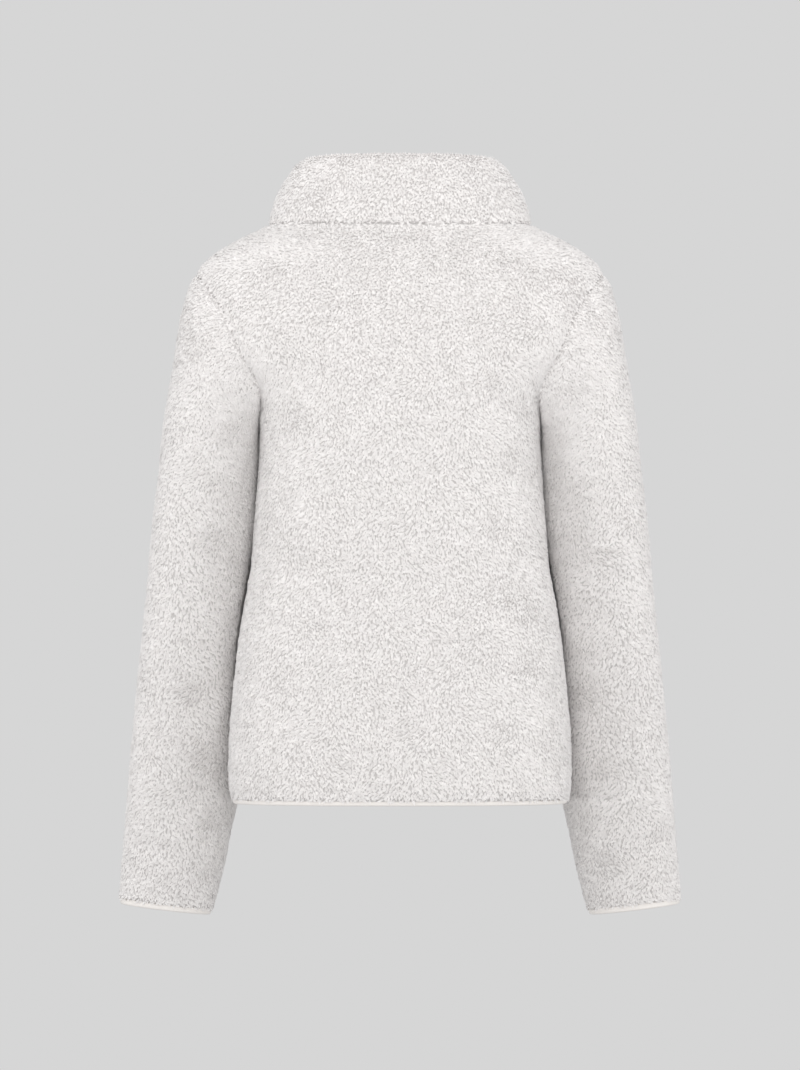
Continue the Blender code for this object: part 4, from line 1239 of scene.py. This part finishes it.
# The finishes with one grain: how fine it is, its detail and its stretch upwards, its two colours,
# roughness at no grain and what full grain adds, bump in metres and its strength, and clouds by how
# fine they are and their share of the colour. The tape has a weave instead: how fine, how uneven.
grains = {
    "backing": {
        "material": "knitBacking",
        "same": {"Specular IOR Level": 0.2, "Sheen Weight": 0.15},
        "grain": (1100.0, 2.0, 0.35),
        "ends": ((0.740, 0.715, 0.700), (0.830, 0.805, 0.790)),
        "rough": (0.8, 0.15),
        "relief": (0.0005, 0.6),
        "clouds": (40.0, 0.3),
    },
    "binding": {
        "material": "stretchBinding",
        "same": {"Specular IOR Level": 0.35, "Sheen Weight": 0.2},
        "grain": (900.0, 2.0, 0.12),
        "ends": ((0.800, 0.765, 0.730), (0.900, 0.865, 0.835)),
        "rough": (0.5, 0.2),
        "relief": (0.0004, 0.6),
        "clouds": (90.0, 0.4),
    },
    "tape": {
        "material": "zipTapeWeave",
        "same": {"Specular IOR Level": 0.3},
        "weave": (22.0, 0.6),
        "ends": ((0.640, 0.615, 0.580), (0.760, 0.735, 0.700)),
        "rough": (0.7, 0.15),
        "relief": (0.0003, 0.6),
        "clouds": (300.0, 0.4),
    },
    "teeth": {
        "material": "zipTeethPlastic",
        "same": {"Specular IOR Level": 0.45},
        "grain": (240.0, 3.0, 1.0),
        "ends": ((0.640, 0.615, 0.580), (0.780, 0.765, 0.735)),
        "rough": (0.28, 0.2),
    },
    "thread": {
        "material": "sewingThread",
        "same": {"Specular IOR Level": 0.4},
        "grain": (1500.0, 2.0, 3.0),
        "ends": ((0.800, 0.765, 0.730), (0.900, 0.865, 0.835)),
        "rough": (0.5, 0.2),
        "relief": (0.0002, 0.6),
    },
    "metal": {
        "material": "zipMetalFinish",
        "same": {"Metallic": 1.0},
        "grain": (2600.0, 3.0, 0.12),
        "ends": ((0.31, 0.30, 0.29), (0.44, 0.43, 0.41)),
        "rough": (0.3, 0.25),
        "relief": (0.0001, 0.3),
    },
    "floor": {
        "material": "studioFloor",
        "same": {"Specular IOR Level": 0.1, "Roughness": 0.9},
        "grain": (1.2, 2.0, 1.0),
        "ends": ((0.43, 0.43, 0.43), (0.46, 0.46, 0.46)),
    },
}


# Fibres and patches colour it, the fibres partly as painted shade in the bump's hollows; a tuft is
# lighter towards its tip, which is painted shade at its root, and the ground below is darker, which is
# painted shade between the tufts.
def fleeceLook(name, ground):
    look = Look(name, nap["same"])
    place = look.objectPlace()
    patch = look.noise(place, nap["patches"], 3.0)
    fine = look.noise(place, nap["fibres"])
    if ground:
        # painted shade: the ground runs from the deep colour up to the middle one, darker than the
        # tufts, for the shade between them
        patchPart, finePart = nap["groundShares"]
        share = patch * patchPart + fine * finePart
        ends = nap["deep"], nap["middle"]
    else:
        # the tuft's end lightens it towards the tip: painted shade at its root
        share = look.stored("tuftTone") * nap["toneShare"] + look.stored("tuftEnd") * nap["rootShadeShare"]
        # the fine noise is also the bump's height: its colour share is fibre grain and painted shade
        # in the hollows
        share = share + patch * nap["patchShare"] + (fine - 0.5) * nap["fibreAndHollowShadeShare"]
        ends = nap["middle"], nap["light"]
    least, more = nap["rough"]
    look.drives("Base Color", look.mixed(share.clamped(), *ends))
    look.drives("Roughness", (fine * more + least).clamped())
    look.drives("Normal", look.bump(fine, *nap["relief"]))
    return look


# Colour, roughness and bump all rise with the grain, or with the weave's diagonal bands.
def grainLook(finish):
    look = Look(finish["material"], finish["same"])
    place = look.objectPlace()
    if "grain" in finish:
        often, detail, stretch = finish["grain"]
        grain = look.noise(look.scaled(place, (1.0, 1.0, stretch)), often, detail)
    else:
        often, uneven = finish["weave"]
        bands = {"wave_type": "BANDS", "bands_direction": "DIAGONAL"}
        values = {"Vector": look.uvPlace("tapeRun"), "Scale": often, "Distortion": uneven}
        grain = look.node("ShaderNodeTexWave", bands, values)
    share = grain
    if "clouds" in finish:
        often, part = finish["clouds"]
        share = (grain * (1 - part) + look.noise(place, often) * part).clamped()
    look.drives("Base Color", look.mixed(share, *finish["ends"]))
    if "rough" in finish:
        least, more = finish["rough"]
        look.drives("Roughness", (grain * more + least).clamped())
    if "relief" in finish:
        look.drives("Normal", look.bump(grain, *finish["relief"]))
    return look


# All of them under short names: the tufts, the ground below them, and the finishes with one grain.
def makeLooks():
    looks = {name: grainLook(finish) for name, finish in grains.items()}
    looks["fleece"] = fleeceLook("teddyFleece", False)
    looks["pileBase"] = fleeceLook("teddyFleeceGround", True)
    return looks


def declare(panels, collarPieces, bindings, zipPieces):
    cuts = (
        # CAD node, width and length of the cloth it is cut from in metres, and the cut's area
        ("back", (0.480, 0.585), 0.242),
        ("front_right", (0.245, 0.580), 0.120),
        ("front_left", (0.245, 0.580), 0.120),
        ("sleeve_right", (0.420, 0.620), 0.192),
        ("sleeve_left", (0.420, 0.620), 0.192),
        ("collar", (0.560, 0.085), 0.047),
    )
    hem, cuffRight, cuffLeft = bindings
    right = [piece for piece in zipPieces if piece.name.endswith("Right")]
    left = [piece for piece in zipPieces if piece.name.endswith("Left")]
    along = ([hem], right, left, [cuffRight], [cuffLeft], [])
    for (node, cut, area), (cloth, tufts), others in zip(cuts, [*panels, collarPieces], along):
        for piece in (cloth, tufts):
            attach(piece, "jacket")
        for piece in others:
            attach(piece, "jacket")
        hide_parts(node)
    for piece, node in zip(bindings, ("hem_binding", "cuff_binding_right", "cuff_binding_left")):
        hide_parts(node)
    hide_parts("zip_tape_right")
    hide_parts("zip_tape_left")


# The slider and the pull tab stay as the solids they are, in brushed metal.
def dressMetal(look):
    for name in ("zip_slider", "zip_pull_tab"):
        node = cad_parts[name]
        node.data.materials.clear()
        node.data.materials.append(look.material)


looks = makeLooks()
print("materials made:", len(looks))
setStage()
makeFloor(looks["floor"])
print("stage set")
panels, frontEdge, frontInward, cuffRing, cuffWall, neckWall = makeFleece(looks)
print("fleece panels:", len(panels))
collarCloth, collarTufts, collarOutside = makeCollar(neckWall, looks)
bindings = makeBindings(cuffRing, cuffWall, looks["binding"])
print("collar and bindings made")
zipPieces = makeZip(frontEdge, frontInward, collarOutside, looks)
print("zip made")
declare(panels, (collarCloth, collarTufts), bindings, zipPieces)
dressMetal(looks["metal"])
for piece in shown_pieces():  # each with its triangles
    piece.data.calc_loop_triangles()
    print(piece.name, len(piece.data.loop_triangles))
